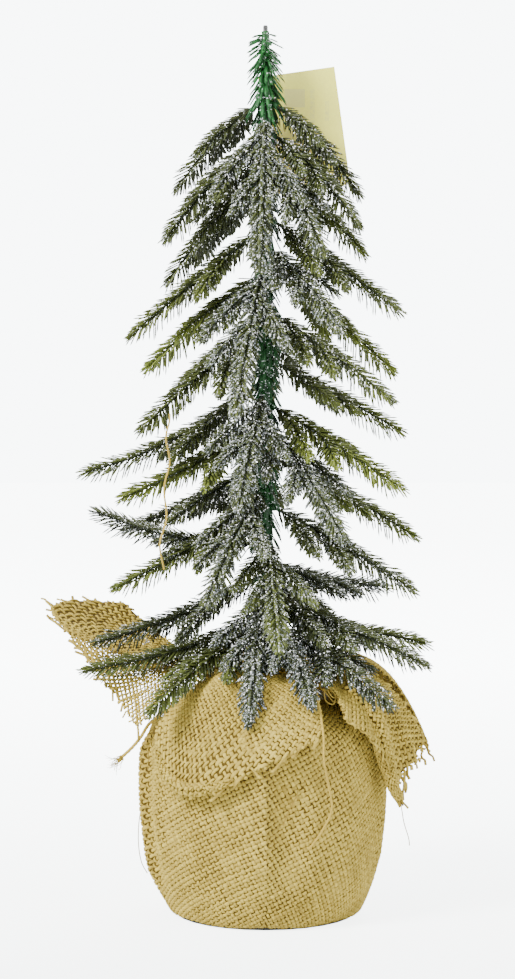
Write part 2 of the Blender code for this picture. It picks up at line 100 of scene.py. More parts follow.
# Collar flaps, the same as the frame's: (from, to) along the neck in degrees, the crest and the hem
# as points in the loose yarns' form, then the weave's turn in degrees and its yarn pitch, how far
# the hem is frayed, in metres, from one side to the other, and the share of the cloth that is close.
FLAPS = {
    "collar_front": (
        (212, 302),
        [(214, -16, -1), (238, -13, 2), (262, -15, 1), (286, -14, 2), (302, -15, 3)],
        [(209, 5, -22), (222, 5, -42), (236, 7, -47), (256, 8, -41), (276, 8, -30), (295, 7, -20)],
        40, 0.00225, (0.001, 0.001, 0.004, 0.005, 0.001), 1.0,
    ),
    "collar_left": (
        (141, 208),
        [(143, -2, 12), (170, 2, 10), (190, -6, 7), (207, -12, 2)],
        [(148, 28, 35), (171, 51, 36), (183, 36, 18), (194, 18, -6), (205, 10, -22)],
        24, 0.0025, (0.003, 0.005, 0.004, 0.003, 0.003), 0.45,
    ),
    "collar_right": (
        (307, 352),
        [(309, -13, 3), (325, -9, 4), (340, -6, 2), (352, -5, 3)],
        [(306, 7, -12), (320, 10, -26), (336, 12, -46), (347, 17, -38), (356, 21, -32)],
        18, 0.00225, (0.001, 0.001, 0.004, 0.006, 0.006), 1.0,
    ),
    "collar_back": (
        (358, 142),
        [(1, -4, 6), (25, -2, 7), (60, 2, 8), (95, 2, 8), (125, 2, 8), (142, -2, 8)],
        [(4, 24, -36), (28, 24, -26), (55, 26, -16), (85, 22, -28), (115, 26, -10), (140, 24, 2)],
        10, 0.0024, (0.005, 0.004, 0.003, 0.005, 0.006), 1.0,
    ),
}
# Rolled parts of two flaps: points as directions, millimetres outside the body and above the neck,
# and the roll's radius in metres at each
ROLLS = {
    "collar_front": ([(213, 5, -31), (221, 6, -41), (232, 7.5, -46.5), (243, 8, -46), (254, 8.5, -42)],
                     [0.0010, 0.0021, 0.0025, 0.0022, 0.0010]),
    "collar_right": ([(318, -8, 1), (324, 0, -8), (328, 6, -20), (332, 8, -35), (334, 11, -49),
                      (336, 14, -57)],
                     [0.0045, 0.0050, 0.0044, 0.0034, 0.0024, 0.0012]),
}
# Stray threads of the cloth: points as directions, millimetres outside the body and above the neck
STRAYS = [
    [(285.5, 1.5, -46), (283, 2, -52), (280, 1.5, -58), (278, 1.5, -64)],
    [(277, -1, -94), (281, -1, -100), (286, -2, -106), (292, -3, -112)],
    [(200, 3, -31), (200.5, 3, -37), (200, 3, -43)],
    [(191, 3, -60), (190, 5, -70), (190, 5.5, -82), (190, 4, -92), (190, 1, -98)],
    [(334, 13, -53), (335, 15, -60), (336, 16, -68), (337, 18, -76), (338, 18, -80)],
    [(302, -10, 4), (305, -6, 2), (308, -4, -2), (306, -3, -6), (302, -4, -4), (303, -6, 1), (308, -5, 2)],
    [(305, -11, 5), (309, -7, 3), (311, -5, -1), (307, -4, -3), (304, -5, 1), (308, -7, 4)],
    [(300, -9, 3), (303, -6, 0), (307, -4, -5), (311, -5, -4), (310, -7, 1)],
]
# Panels of the wrap, from and to in degrees, and the turn of the weave that they share
PANELS = {"wrap_left": (148, 271), "wrap_right": (270.4, 402), "wrap_back": (38, 152)}
WEAVE_TURN = 27.0
# Folds of the wrap: direction in degrees, half widths before and after it in degrees, height in
# metres, and the levels they fade out at.
FOLDS = [
    (270, 11.0, 3.2, 0.0050, 0.036, 0.098),
    (281, 4.5, 3.0, -0.0012, 0.040, 0.096),
    (292, 5.0, 6.0, 0.0016, 0.034, 0.095),
    (193, 5.0, 3.5, 0.0048, 0.018, 0.085),
    (208, 4.0, 4.0, 0.0016, 0.025, 0.085),
    (232, 9.0, 9.0, 0.0015, 0.035, 0.090),
    (314, 8.0, 8.0, 0.0014, 0.030, 0.095),
    (348, 6.0, 6.0, 0.0020, 0.022, 0.085),
    (30, 6.0, 6.0, 0.0030, 0.022, 0.090),
    (75, 5.0, 5.0, 0.0026, 0.020, 0.085),
    (122, 6.0, 6.0, 0.0032, 0.024, 0.095),
]
# Each sprig's frost and how far its green is a fresh yellow one, from 0 to 1
SPRIG_LOOKS = {
    "left_01": (0.50, 0.10), "left_02": (0.45, 0.10), "left_03": (0.45, 0.15),
    "left_04": (0.40, 0.30), "left_05": (0.18, 0.75), "left_06": (0.40, 0.20),
    "left_07": (0.45, 0.20), "left_08": (0.22, 0.45), "left_09": (0.55, 0.10),
    "left_10": (0.70, 0.00), "left_11": (0.42, 0.35), "left_12": (0.55, 0.00),
    "left_13": (0.40, 0.20), "left_14": (0.35, 0.30),
    "right_01": (0.50, 0.10), "right_02": (0.50, 0.15), "right_03": (0.35, 0.35),
    "right_04": (0.45, 0.20), "right_05": (0.25, 0.65), "right_06": (0.50, 0.30),
    "right_07": (0.40, 0.40), "right_08": (0.25, 0.55), "right_09": (0.45, 0.40),
    "right_10": (0.65, 0.15), "right_11": (0.75, 0.00), "right_12": (0.45, 0.30),
    "right_13": (0.60, 0.10), "right_14": (0.70, 0.05),
    "front_01": (0.85, 0.05), "front_02": (0.80, 0.10), "front_03": (0.88, 0.12),
    "front_04": (0.92, 0.10), "front_05": (0.95, 0.08), "front_06": (0.92, 0.10),
    "front_07": (0.85, 0.12), "front_08": (0.70, 0.30), "front_09": (1.00, 0.00),
    "front_10": (1.00, 0.00),
}
BACK_LOOK = (0.5, 0.2)
# Side twigs of a sprig: how far along the stem, which side, and their share of its length
TWIGS = [(0.10, 1, 0.44), (0.22, -1, 0.42), (0.38, 1, 0.32)]


# ---------------------------------------------------------------- what a user would change

def length(name, description, default):
    """A length in metres that a user can change."""
    return FloatProperty(name=name, description=description, default=default, unit="LENGTH", precision=5)


def colour(name, description, default):
    """A colour that a user can change."""
    return FloatVectorProperty(name=name, description=description, default=default, subtype="COLOR",
                               min=0.0, max=1.0)


class NeedleSizes(bpy.types.PropertyGroup):
    long: length("Needle length", "Length of a full-grown needle", 0.0102)
    wide: length("Needle width", "Width of a needle where it is widest", 0.00132)
    thick: length("Needle thickness", "Thickness of a needle", 0.00060)
    pitch: length("Whorl pitch", "Distance from one whorl of needles to the next", 0.00198)
    around: IntProperty(name="Needles in a whorl", description="Needles around the stem", default=6)


class ClothSizes(bpy.types.PropertyGroup):
    pitch: length("Yarn pitch", "Distance from one yarn of the wrap to the next", 0.00230)
    yarn: length("Yarn width", "Width of a flattened yarn", 0.00178)
    yarn_thick: length("Yarn thickness", "Thickness of a flattened yarn", 0.00110)
    crimp: length("Crimp", "How far a yarn rises over the ones that it crosses", 0.00062)
    hair: length("Hair length", "Length of a loose hair of the cloth", 0.0060)
    hairs: IntProperty(name="Hairs", description="Loose hairs on the wrap and collar", default=900)


class TreeColours(bpy.types.PropertyGroup):
    shade: colour("Shaded green", "Colour deep among the needles", (0.012, 0.017, 0.004))
    green: colour("Olive green", "Colour of most needles", (0.062, 0.076, 0.013))
    fresh: colour("Fresh green", "Colour of the youngest tips", (0.270, 0.330, 0.045))
    frost: colour("Frost", "Colour of the sprayed frost", (0.450, 0.490, 0.550))
    emerald: colour("Emerald", "Colour of the trunk and the leader", (0.010, 0.100, 0.016))
    straw: colour("Straw", "Colour of the cloth's pale yarns", (0.940, 0.730, 0.150))
    tan: colour("Tan", "Colour of the cloth's dark yarns", (0.330, 0.225, 0.042))
    jute: colour("Jute", "Colour of the twine", (0.820, 0.590, 0.110))
    paper: colour("Paper", "Colour of the tag", (0.880, 0.840, 0.110))


# ---------------------------------------------------------------- shader nodes

def put(tree, kind, inputs=None, **settings):
    """A node with its settings, whose inputs take values or the sockets of other nodes."""
    made = tree.nodes.new(kind)
    for name, value in settings.items():
        setattr(made, name, value)
    for name, value in (inputs or {}).items():
        if isinstance(value, bpy.types.NodeSocket):
            tree.links.new(value, made.inputs[name])
        else:
            made.inputs[name].default_value = value
    return made


def mixed(tree, factor, first, second, blend="MIX"):
    """Two colours mixed by a factor."""
    rgb = [(*c, 1.0) if isinstance(c, (tuple, list)) and len(c) == 3 else c for c in (first, second)]
    return put(tree, "ShaderNodeMix", {0: factor, 6: rgb[0], 7: rgb[1]}, data_type="RGBA",
               blend_type=blend, clamp_factor=True).outputs[2]


def maths(tree, operation, first, second=0.0, clamp=False):
    """One sum on two values."""
    return put(tree, "ShaderNodeMath", {0: first, 1: second}, operation=operation,
               use_clamp=clamp).outputs[0]


def attribute(tree, name, output="Fac"):
    """A value that the piece's mesh carries."""
    return put(tree, "ShaderNodeAttribute", attribute_name=name).outputs[output]


def group(name, inputs, outputs, build):
    """A shader node group, made once: its inputs with their defaults, its outputs, and its nodes."""
    if name in bpy.data.node_groups:
        return bpy.data.node_groups[name]
    tree = bpy.data.node_groups.new(name, "ShaderNodeTree")
    for label, kind, default in inputs:
        socket = tree.interface.new_socket(label, in_out="INPUT", socket_type=kind)
        if default is not None:
            socket.default_value = default
    for label, kind in outputs:
        tree.interface.new_socket(label, in_out="OUTPUT", socket_type=kind)
    build(tree, put(tree, "NodeGroupInput").outputs, put(tree, "NodeGroupOutput").inputs)
    return tree


def use(tree, made_group, **inputs):
    """A group placed in a material with its own values."""
    node = put(tree, "ShaderNodeGroup", node_tree=made_group)
    for name, value in inputs.items():
        if isinstance(value, bpy.types.NodeSocket):
            tree.links.new(value, node.inputs[name])
        else:
            node.inputs[name].default_value = value
    return node.outputs


def mottle_group():
    """Soft cloudy patches, from 0 to 1."""
    def build(tree, given, out):
        noise = put(tree, "ShaderNodeTexNoise", {"Vector": given["Vector"], "Scale": given["Scale"],
                                                 "Detail": 3.0, "Roughness": 0.6})
        spread = put(tree, "ShaderNodeMapRange", {"Value": noise.outputs["Fac"], "From Min": 0.32,
                                                  "From Max": 0.68})
        tree.links.new(spread.outputs["Result"], out["Value"])
    return group("Mottle", [("Vector", "NodeSocketVector", None), ("Scale", "NodeSocketFloat", 100.0)],
                 [("Value", "NodeSocketFloat")], build)


def glitter_group():
    """Scattered specks: 1 on a speck and 0 between them."""
    def build(tree, given, out):
        cells = put(tree, "ShaderNodeTexVoronoi", {"Vector": given["Vector"], "Scale": given["Scale"]})
        chance = put(tree, "ShaderNodeSeparateColor", {"Color": cells.outputs["Color"]}).outputs[0]
        few = maths(tree, "LESS_THAN", chance, given["Share"])
        near = maths(tree, "LESS_THAN", cells.outputs["Distance"], 0.42)
        tree.links.new(maths(tree, "MULTIPLY", few, near), out["Speck"])
    return group("Glitter", [("Vector", "NodeSocketVector", None), ("Scale", "NodeSocketFloat", 1500.0),
                             ("Share", "NodeSocketFloat", 0.1)], [("Speck", "NodeSocketFloat")], build)


def fibre_group():
    """Twisted fibres along a yarn, read from its own length and girth in metres."""
    def build(tree, given, out):
        apart = put(tree, "ShaderNodeSeparateXYZ", {"Vector": given["Vector"]}).outputs
        slid = maths(tree, "ADD", apart[1], maths(tree, "MULTIPLY", apart[0], given["Twist"]))
        laid = put(tree, "ShaderNodeCombineXYZ", {"X": maths(tree, "MULTIPLY", apart[0], 0.22),
                                                  "Y": slid, "Z": apart[2]}).outputs[0]
        noise = put(tree, "ShaderNodeTexNoise", {"Vector": laid, "Scale": given["Scale"],
                                                 "Detail": 4.0, "Roughness": 0.65})
        spread = put(tree, "ShaderNodeMapRange", {"Value": noise.outputs["Fac"], "From Min": 0.3,
                                                  "From Max": 0.7})
        tree.links.new(spread.outputs["Result"], out["Value"])
    return group("Fibres", [("Vector", "NodeSocketVector", None), ("Scale", "NodeSocketFloat", 3000.0),
                            ("Twist", "NodeSocketFloat", 0.5)], [("Value", "NodeSocketFloat")], build)


def finish(name):
    """A finish made for the tree, whose names are kept apart from the frame's own."""
    return bpy.data.materials["tree_" + name]


def new_material(name, **constant):
    """A material with a Principled shader, and its tree, shader and object coordinates."""
    made = bpy.data.materials.new("tree_" + name)
    made.use_nodes = True
    tree = made.node_tree
    shader = tree.nodes["Principled BSDF"]
    for key, value in constant.items():
        shader.inputs[key.replace("_", " ")].default_value = value
    place = put(tree, "ShaderNodeTexCoord").outputs["Object"]
    return made, tree, shader, place


def mottle(tree, place, scale):
    """Soft cloudy patches, placed in a material."""
    return use(tree, mottle_group(), Vector=place, Scale=scale)["Value"]


def glints(tree, place, scale, share):
    """Scattered specks, placed in a material."""
    return use(tree, glitter_group(), Vector=place, Scale=scale, Share=share)["Speck"]


def fibres_along(tree, scale, twist):
    """Twisted fibres, placed in a material, that follow each yarn of the piece."""
    return use(tree, fibre_group(), Vector=attribute(tree, "yarn", "Vector"), Scale=scale,
               Twist=twist)["Value"]


def roughness(tree, shader, value, low, high):
    """A roughness that runs from low to high as a value runs from 0 to 1."""
    spread = put(tree, "ShaderNodeMapRange", {"Value": value, "To Min": low, "To Max": high})
    tree.links.new(spread.outputs[0], shader.inputs["Roughness"])


def bump(tree, shader, height, strength, distance):
    """A bump that feeds the shader's normal."""
    made = put(tree, "ShaderNodeBump", {"Strength": strength, "Distance": distance, "Height": height})
    tree.links.new(made.outputs["Normal"], shader.inputs["Normal"])


def needle_material():
    """Olive and fresh green plastic, dusted with frost and specks of glitter; painted shade on lower needles.
    """
    colours = bpy.context.scene.tree_colours
    made, tree, shader, place = new_material("needles", Specular_IOR_Level=0.4)
    # Painted shade: needles that point down lean to the shaded green; besides that the mix varies at random.
    green = mixed(tree, attribute(tree, "tone"), tuple(colours.shade), tuple(colours.green))
    green = mixed(tree, attribute(tree, "fresh"), green, tuple(colours.fresh))
    grains = mottle(tree, place, 1100.0)
    frost = attribute(tree, "frost")
    covered = maths(tree, "ADD", grains, maths(tree, "MULTIPLY", frost, 0.50))
    level = maths(tree, "SUBTRACT", covered, 1.0)
    dust = maths(tree, "MULTIPLY", level, 3.0, clamp=True)
    frosted = mixed(tree, dust, green, tuple(colours.frost))
    speck = glints(tree, place, 950.0, maths(tree, "MULTIPLY", frost, 0.30))
    tree.links.new(mixed(tree, speck, frosted, (0.97, 0.98, 1.0)), shader.inputs["Base Color"])
    roughness(tree, shader, speck, 0.60, 0.22)
    bump(tree, shader, dust, 0.35, 0.0002)
    return made


def glitter_painted_glint_material():
    """Flakes of glitter whose glints are painted: they glow, some a little bluer or warmer."""
    made, tree, shader, place = new_material("glitter", Emission_Strength=4.0)
    patches = mottle(tree, place, 900.0)
    tree.links.new(mixed(tree, patches, (0.93, 0.95, 1.0), (1.0, 0.98, 0.94)),
                   shader.inputs["Base Color"])
    # Painted glints: the flakes glow, brighter in some patches than in others.
    tree.links.new(mixed(tree, patches, (0.3, 0.3, 0.32), (1.0, 1.0, 1.0)),
                   shader.inputs["Emission Color"])
    roughness(tree, shader, patches, 0.12, 0.45)
    return made


def stem_material():
    """Almost black green plastic with a fine twist."""
    colours = bpy.context.scene.tree_colours
    made, tree, shader, place = new_material("stem")
    fibres = fibres_along(tree, 1800.0, 0.9)
    base = mixed(tree, fibres, tuple(colours.shade), (0.040, 0.060, 0.022))
    speck = glints(tree, place, 1300.0, 0.12)
    tree.links.new(mixed(tree, speck, base, tuple(colours.frost)), shader.inputs["Base Color"])
    roughness(tree, shader, fibres, 0.5, 0.8)
    bump(tree, shader, fibres, 0.5, 0.0003)
    return made


def emerald_material(name, light, specks):
    """Emerald plastic film, of the trunk or the leader."""
    colours = bpy.context.scene.tree_colours
    made, tree, shader, place = new_material(name, Specular_IOR_Level=0.5)
    patches = mottle(tree, place, 420.0)
    deep = tuple(light * c * 0.35 for c in colours.emerald)
    bright = tuple(min(1.0, light * c * 1.25) for c in colours.emerald)
    base = mixed(tree, patches, deep, bright)
    speck = glints(tree, place, 1100.0, specks)
    tree.links.new(mixed(tree, speck, base, (0.75, 0.80, 0.78)), shader.inputs["Base Color"])
    roughness(tree, shader, patches, 0.32, 0.6)
    bump(tree, shader, patches, 0.3, 0.0003)
    return made


def yarn_material(name, pale, dark, scale):
    """Hairy plant fibre, twisted along each yarn."""
    made, tree, shader, place = new_material(name, Specular_IOR_Level=0.10)
    fibres = fibres_along(tree, scale, 0.6)
    patches = mottle(tree, place, 70.0)
    # Dark and pale mixed per point: each yarn's own random tone, with painted shade where it dips under the
    # yarns that it crosses.
    base = mixed(tree, attribute(tree, "tone"), dark, pale)
    base = mixed(tree, maths(tree, "MULTIPLY", patches, 0.35), base, dark)
    depth = maths(tree, "MULTIPLY", fibres, 0.75)
    shaded = mixed(tree, depth, mixed(tree, 0.5, base, (0.12, 0.07, 0.012)), base)
    tree.links.new(shaded, shader.inputs["Base Color"])
    roughness(tree, shader, fibres, 0.95, 0.75)
    bump(tree, shader, fibres, 0.6, 0.0003)
    return made


def mottled_material(name, first, second, scale, rough, height, **constant):
    """A material of two colours in fine patches, with a bump from the same patches."""
    made, tree, shader, place = new_material(name, **constant)
    patches = mottle(tree, place, scale)
    tree.links.new(mixed(tree, patches, first, second), shader.inputs["Base Color"])
    roughness(tree, shader, patches, rough, min(1.0, rough + 0.15))
    bump(tree, shader, patches, 0.4, height)
    return made


# ---------------------------------------------------------------- mesh tools

class Soup:
    """Points, faces and values of many small shapes, gathered into one mesh."""

    def __init__(self):
        self.points, self.faces, self.slots = [], [], []
        self.values = {"tone": [], "frost": [], "fresh": []}
        self.yarn = []
        self.count = 0

    def add(self, points, faces, yarn=None, material=0, **values):
        """Add shapes: points, lists of corners counted from their first point, and values."""
        number = len(points)
        self.points.append(points)
        for corners in faces:
            self.faces.extend((np.asarray(corners) + self.count).tolist())
            self.slots.extend([material] * len(corners))
        for name, gathered in self.values.items():
            gathered.append(np.broadcast_to(np.asarray(values.get(name, 0.0), dtype=float), number))
        self.yarn.append(np.zeros((number, 3)) if yarn is None else yarn)
        self.count += number

    def piece(self, name, materials, body="base", replaces=()):
        """The gathered mesh as a piece that rides on a body."""
        mesh = bpy.data.meshes.new(name)
        mesh.from_pydata(np.concatenate(self.points).tolist(), [], self.faces)
        for made in materials:
            mesh.materials.append(made)
        mesh.polygons.foreach_set("material_index", self.slots)
        mesh.polygons.foreach_set("use_smooth", [True] * len(mesh.polygons))
        for label, gathered in self.values.items():
            layer = mesh.attributes.new(label, "FLOAT", "POINT")
            layer.data.foreach_set("value", np.concatenate(gathered).astype(np.float32))
        layer = mesh.attributes.new("yarn", "FLOAT_VECTOR", "POINT")
        layer.data.foreach_set("vector", np.concatenate(self.yarn).astype(np.float32).ravel())
        mesh.update()
        obj = bpy.data.objects.new(name, mesh)
        bpy.context.scene.collection.objects.link(obj)
        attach(obj, body)
        if replaces:
            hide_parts(*replaces)
        return obj


def unit(vectors):
    """Vectors made one long."""
    size = np.linalg.norm(vectors, axis=-1, keepdims=True)
    return vectors / np.maximum(size, 1e-9)


def run_along(points):
    """The length along a line at each of its points."""
    return np.concatenate([[0.0], np.cumsum(np.linalg.norm(np.diff(points, axis=0), axis=1))])


def between(places, run, rows):
    """Rows of three values, read at places along their run."""
    return np.stack([np.interp(places, run, rows[:, k]) for k in range(3)], -1)


def about_axis(radius, angle, height):
    """Points round the trunk's axis, from radii, angles in radians and heights."""
    height = np.broadcast_to(height, np.shape(angle))
    return np.stack([radius * np.cos(angle), radius * np.sin(angle), height], -1)


def carried_up(points):
    """A direction square to a line at each of its points, carried along without twisting."""
    ahead = unit(np.gradient(points, axis=0))
    start = UP if abs(ahead[0][2]) < 0.8 else np.array([1.0, 0.0, 0.0])
    ups = []
    for direction in ahead:
        start = unit(start - direction * np.dot(start, direction))
        ups.append(start)
    return np.array(ups)


def curve_through(points, count):
    """A smooth curve through points, as the frame's tubes have it, evenly counted."""
    knots = np.array(points, dtype=float)
    padded = np.vstack([2 * knots[0] - knots[1], knots, 2 * knots[-1] - knots[-2]])
    result = []
    for share in np.linspace(0, len(knots) - 1, count):
        index = min(int(share), len(knots) - 2)
        t = share - index
        a, b, c, d = padded[index:index + 4]
        result.append(0.5 * (2 * b + (c - a) * t + (2 * a - 5 * b + 4 * c - d) * t ** 2
                             + (3 * b - a - 3 * c + d) * t ** 3))
    return np.array(result)


def add_tube(soup, points, up, wide, thick, sides=6, lobes=0, pitch=0.01, taper=None, **values):
    """A closed tube along a line; lobes give it that many twisted strands."""
    points = np.asarray(points, dtype=float)
    rings = len(points)
    ahead = unit(np.gradient(points, axis=0))
    side = unit(np.cross(ahead, up))
    up = np.cross(side, ahead)
    run = run_along(points)
    around = -pi / 2 + 2 * pi * np.arange(sides) / sides
    size = np.ones((rings, sides))
    if lobes:
        size = 0.80 + 0.20 * np.abs(np.cos(lobes / 2 * (around[None] - 2 * pi * run[:, None] / pitch)))
    if taper is not None:
        size = size * np.asarray(taper)[:, None]
    wide = np.broadcast_to(np.asarray(wide, dtype=float), rings)[:, None] * size
    thick = np.broadcast_to(np.asarray(thick, dtype=float), rings)[:, None] * size
    ring = (points[:, None] + side[:, None] * (wide * np.cos(around))[..., None]
            + up[:, None] * (thick * np.sin(around))[..., None])
    made = np.concatenate([ring.reshape(-1, 3), points[:1], points[-1:]])
    start = np.arange(rings - 1)[:, None] * sides
    here = np.arange(sides)[None]
    after = (here + 1) % sides
    quads = np.stack([start + here, start + after, start + sides + after, start + sides + here], -1)
    last = (rings - 1) * sides
    low = np.stack([after[0], here[0], np.full(sides, rings * sides)], -1)
    high = np.stack([last + here[0], last + after[0], np.full(sides, rings * sides + 1)], -1)
    girth = (wide + thick) * pi / 2 * np.linspace(0, 2, sides)[None]
    yarn = np.stack([np.broadcast_to(run[:, None], girth.shape), girth,
                     np.full(girth.shape, values.pop("seed", 0.0))], -1).reshape(-1, 3)
    yarn = np.concatenate([yarn, yarn[:1], yarn[-1:]])
    for name, value in values.items():
        if np.ndim(value):
            values[name] = np.append(np.repeat(value, sides), [value[0], value[-1]])
    soup.add(made, [quads.reshape(-1, 4), low, high], yarn, **values)


def deselect():
    """Leave nothing selected, so that an operator works only on the new shape."""
    if bpy.context.object and bpy.context.object.mode != "OBJECT":
        bpy.ops.object.mode_set(mode="OBJECT")
    bpy.ops.object.select_all(action="DESELECT")


def needle_form():
    """One needle, one unit long up Z and one wide: a flat, blunt blade, as arrays."""
    deselect()
    bpy.ops.mesh.primitive_cone_add(vertices=4, radius1=0.5, radius2=0.0, depth=1.0, location=(0, 0, 0.5))
    obj = bpy.context.object
    bpy.ops.object.transform_apply(location=True)
    bpy.ops.object.mode_set(mode="EDIT")
    for level, size in ((0.30, 1.43), (0.84, 4.6)):
        bpy.ops.mesh.select_all(action="SELECT")
        bpy.ops.mesh.bisect(plane_co=(0, 0, level), plane_no=(0, 0, 1))
        bpy.ops.transform.resize(value=(size, size, 1.0))
    bpy.ops.object.mode_set(mode="OBJECT")
    points = np.array([v.co[:] for v in obj.data.vertices])
    points[points[:, 2] < 0.01, :2] *= 0.6
    faces = [list(p.vertices) for p in obj.data.polygons]
    bpy.data.objects.remove(obj)
    return points, [np.array([f for f in faces if len(f) == n]) for n in (3, 4)]


def add_needles(soup, form, base, ahead, flat, long, wide, thick, toward, material=0, **values):
    """Needles from their feet: the way ahead, the flat face's normal, sizes, and the way they bend."""
    points, faces = form
    number, each = len(base), len(points)
    side = unit(np.cross(flat, ahead))
    flat = np.cross(ahead, side)
    x, y, z = points.T
    made = (base[:, None] + side[:, None] * (x[None] * wide[:, None])[..., None]
            + flat[:, None] * (y[None] * thick[:, None])[..., None]
            + ahead[:, None] * (z[None] * long[:, None])[..., None]
            + toward[:, None] * (z[None] ** 2 * long[:, None])[..., None])
    normal = unit(side[:, None] * x[None, :, None] + flat[:, None] * y[None, :, None] * 2.5 + 1e-6)
    spread = {}
    for name, value in values.items():
        spread[name] = np.broadcast_to(np.asarray(value)[:, None], (number, each))
    if "frost" in spread:
        # More frost on faces that turn up, where sprayed frost settles, and more on faces that turn to the
        # front, which is painted light.
        lit = 0.50 + 0.42 * normal[..., 2] - 0.22 * normal[..., 1] + 0.12 * z[None]
        spread["frost"] = np.clip(spread["frost"] * 1.25 * lit, 0, 1)
    starts = np.arange(number)[:, None, None] * each
    corners = [(f[None] + starts).reshape(-1, f.shape[1]) for f in faces]
    soup.add(made.reshape(-1, 3), corners, material=material,
             **{name: value.ravel() for name, value in spread.items()})


# ---------------------------------------------------------------- the stage

def soft_light(name, place, aim, size, power):
    """A large, soft lamp."""
    data = bpy.data.lights.new(name, "AREA")
    data.shape = "DISK"
    data.size = size
    data.energy = power
    lamp = bpy.data.objects.new(name, data)
    lamp.location = place
    lamp.rotation_euler = (Vector(aim) - Vector(place)).to_track_quat("-Z", "Y").to_euler()
    bpy.context.scene.collection.objects.link(lamp)


class TREE_OT_stage(bpy.types.Operator):
    """Make the pale floor, the soft light and the camera"""
    bl_idname = "tree.stage"
    bl_label = "Stage"

    def execute(self, context):
        scene = context.scene
        eye, aim = Vector((-0.004, -1.5, 0.33)), Vector((-0.004, 0.0, 0.2165))
        camera = bpy.data.objects.new("camera", bpy.data.cameras.new("camera"))
        camera.data.sensor_fit = "VERTICAL"
        camera.data.sensor_height = 36
        camera.data.lens = 109
        camera.location = eye
        camera.rotation_euler = (aim - eye).to_track_quat("-Z", "Y").to_euler()
        scene.collection.objects.link(camera)
        scene.camera = camera

        deselect()
        bpy.ops.mesh.primitive_plane_add(size=6.0, location=(0, 0, -0.0002))
        floor = context.object
        floor.name = "floor"
        made, tree, shader, place = new_material("floor", Roughness=0.75, Specular_IOR_Level=0.1)
        patches = mottle(tree, place, 4.0)
        tree.links.new(mixed(tree, patches, (0.86, 0.88, 0.88), (0.88, 0.90, 0.90)),
                       shader.inputs["Base Color"])
        apart = put(tree, "ShaderNodeSeparateXYZ", {"Vector": place}).outputs
        back = put(tree, "ShaderNodeMapRange", {"Value": apart[1], "From Min": -0.4, "From Max": 0.9,
                                                "To Min": 3.4, "To Max": 8.5}).outputs[0]
        glow = put(tree, "ShaderNodeEmission", {"Color": (0.95, 1.0, 1.0, 1.0), "Strength": back})
        path = put(tree, "ShaderNodeLightPath")
        lit = put(tree, "ShaderNodeAddShader", {0: shader.outputs[0], 1: glow.outputs[0]})
        shown = put(tree, "ShaderNodeMixShader", {0: path.outputs["Is Camera Ray"], 1: shader.outputs[0],
                                                  2: lit.outputs[0]})
        tree.links.new(shown.outputs[0], tree.nodes["Material Output"].inputs["Surface"])
        floor.data.materials.append(made)

        world = bpy.data.worlds.new("pale studio")
        scene.world = world
        world.use_nodes = True
        tree = world.node_tree
        seen = put(tree, "ShaderNodeBackground", {"Color": (0.93, 0.985, 1.0, 1.0), "Strength": 9.0})
        room = tree.nodes["Background"]
        room.inputs["Color"].default_value = (0.95, 0.98, 1.0, 1.0)
        room.inputs["Strength"].default_value = 0.9
        path = put(tree, "ShaderNodeLightPath")
        both = put(tree, "ShaderNodeMixShader", {0: path.outputs["Is Camera Ray"], 1: room.outputs[0],
                                                 2: seen.outputs[0]})
        tree.links.new(both.outputs[0], tree.nodes["World Output"].inputs["Surface"])
        soft_light("key", (-1.25, -1.05, 1.45), (0, 0, 0.2), 0.7, 82)
        soft_light("fill", (1.3, -1.0, 0.7), (0, 0, 0.2), 1.0, 15)
        soft_light("back", (0.5, 1.3, 1.2), (0, 0, 0.25), 0.9, 26)
        return {"FINISHED"}


# ---------------------------------------------------------------- the loose yarns

def near_body(direction, outside, above):
    """A point given by its direction and its millimetres outside the body and above the neck."""
    radius = BODY_RADIUS + outside / 1000
    angle = radians(direction)
    return (radius * cos(angle), radius * sin(angle), NECK_TOP + above / 1000)


def joint_of(body):
    """The joint that a body turns on."""
    return next(j for j in frame["joints"] if j["child"] == body)


def way_out(joint):
    """The level direction in which a sprig leaves the trunk."""
    return Vector(joint["axis"]).cross(Vector((0, 0, 1))) * -1


def add_cord(name, route, radius, body="base"):
    """A twisted yarn or twine along its route."""
    line = curve_through(route, max(60, int(0.09 / radius)))
    soup = Soup()
    add_tube(soup, line, carried_up(line), radius, radius, sides=9, lobes=3, pitch=radius * 9, tone=0.75)
    obj = soup.piece(name, [finish("jute")], body, [name])


class TREE_OT_cords(bpy.types.Operator):
    """Make the end of the tie and the two loose yarns"""
    bl_idname = "tree.cords"
    bl_label = "Loose yarns"

    def execute(self, context):
        add_cord("tie_end", [near_body(*p) for p in TIE_END_ROUTE], 0.0009)
        add_cord("loose_yarn_front", [near_body(*p) for p in FRONT_YARN_ROUTE], 0.00062)
        joint = joint_of(CAUGHT_ON)
        root, out, up = Vector(joint["pos_m"]), way_out(joint), Vector((0, 0, 1))
        side = up.cross(out)
        route = [root + (out * x + side * y + up * z) / 1000 for x, y, z in CAUGHT_YARN_ROUTE]
        add_cord("loose_yarn_branch", route, 0.0005, CAUGHT_ON)
        return {"FINISHED"}


# ---------------------------------------------------------------- sprigs and trunk

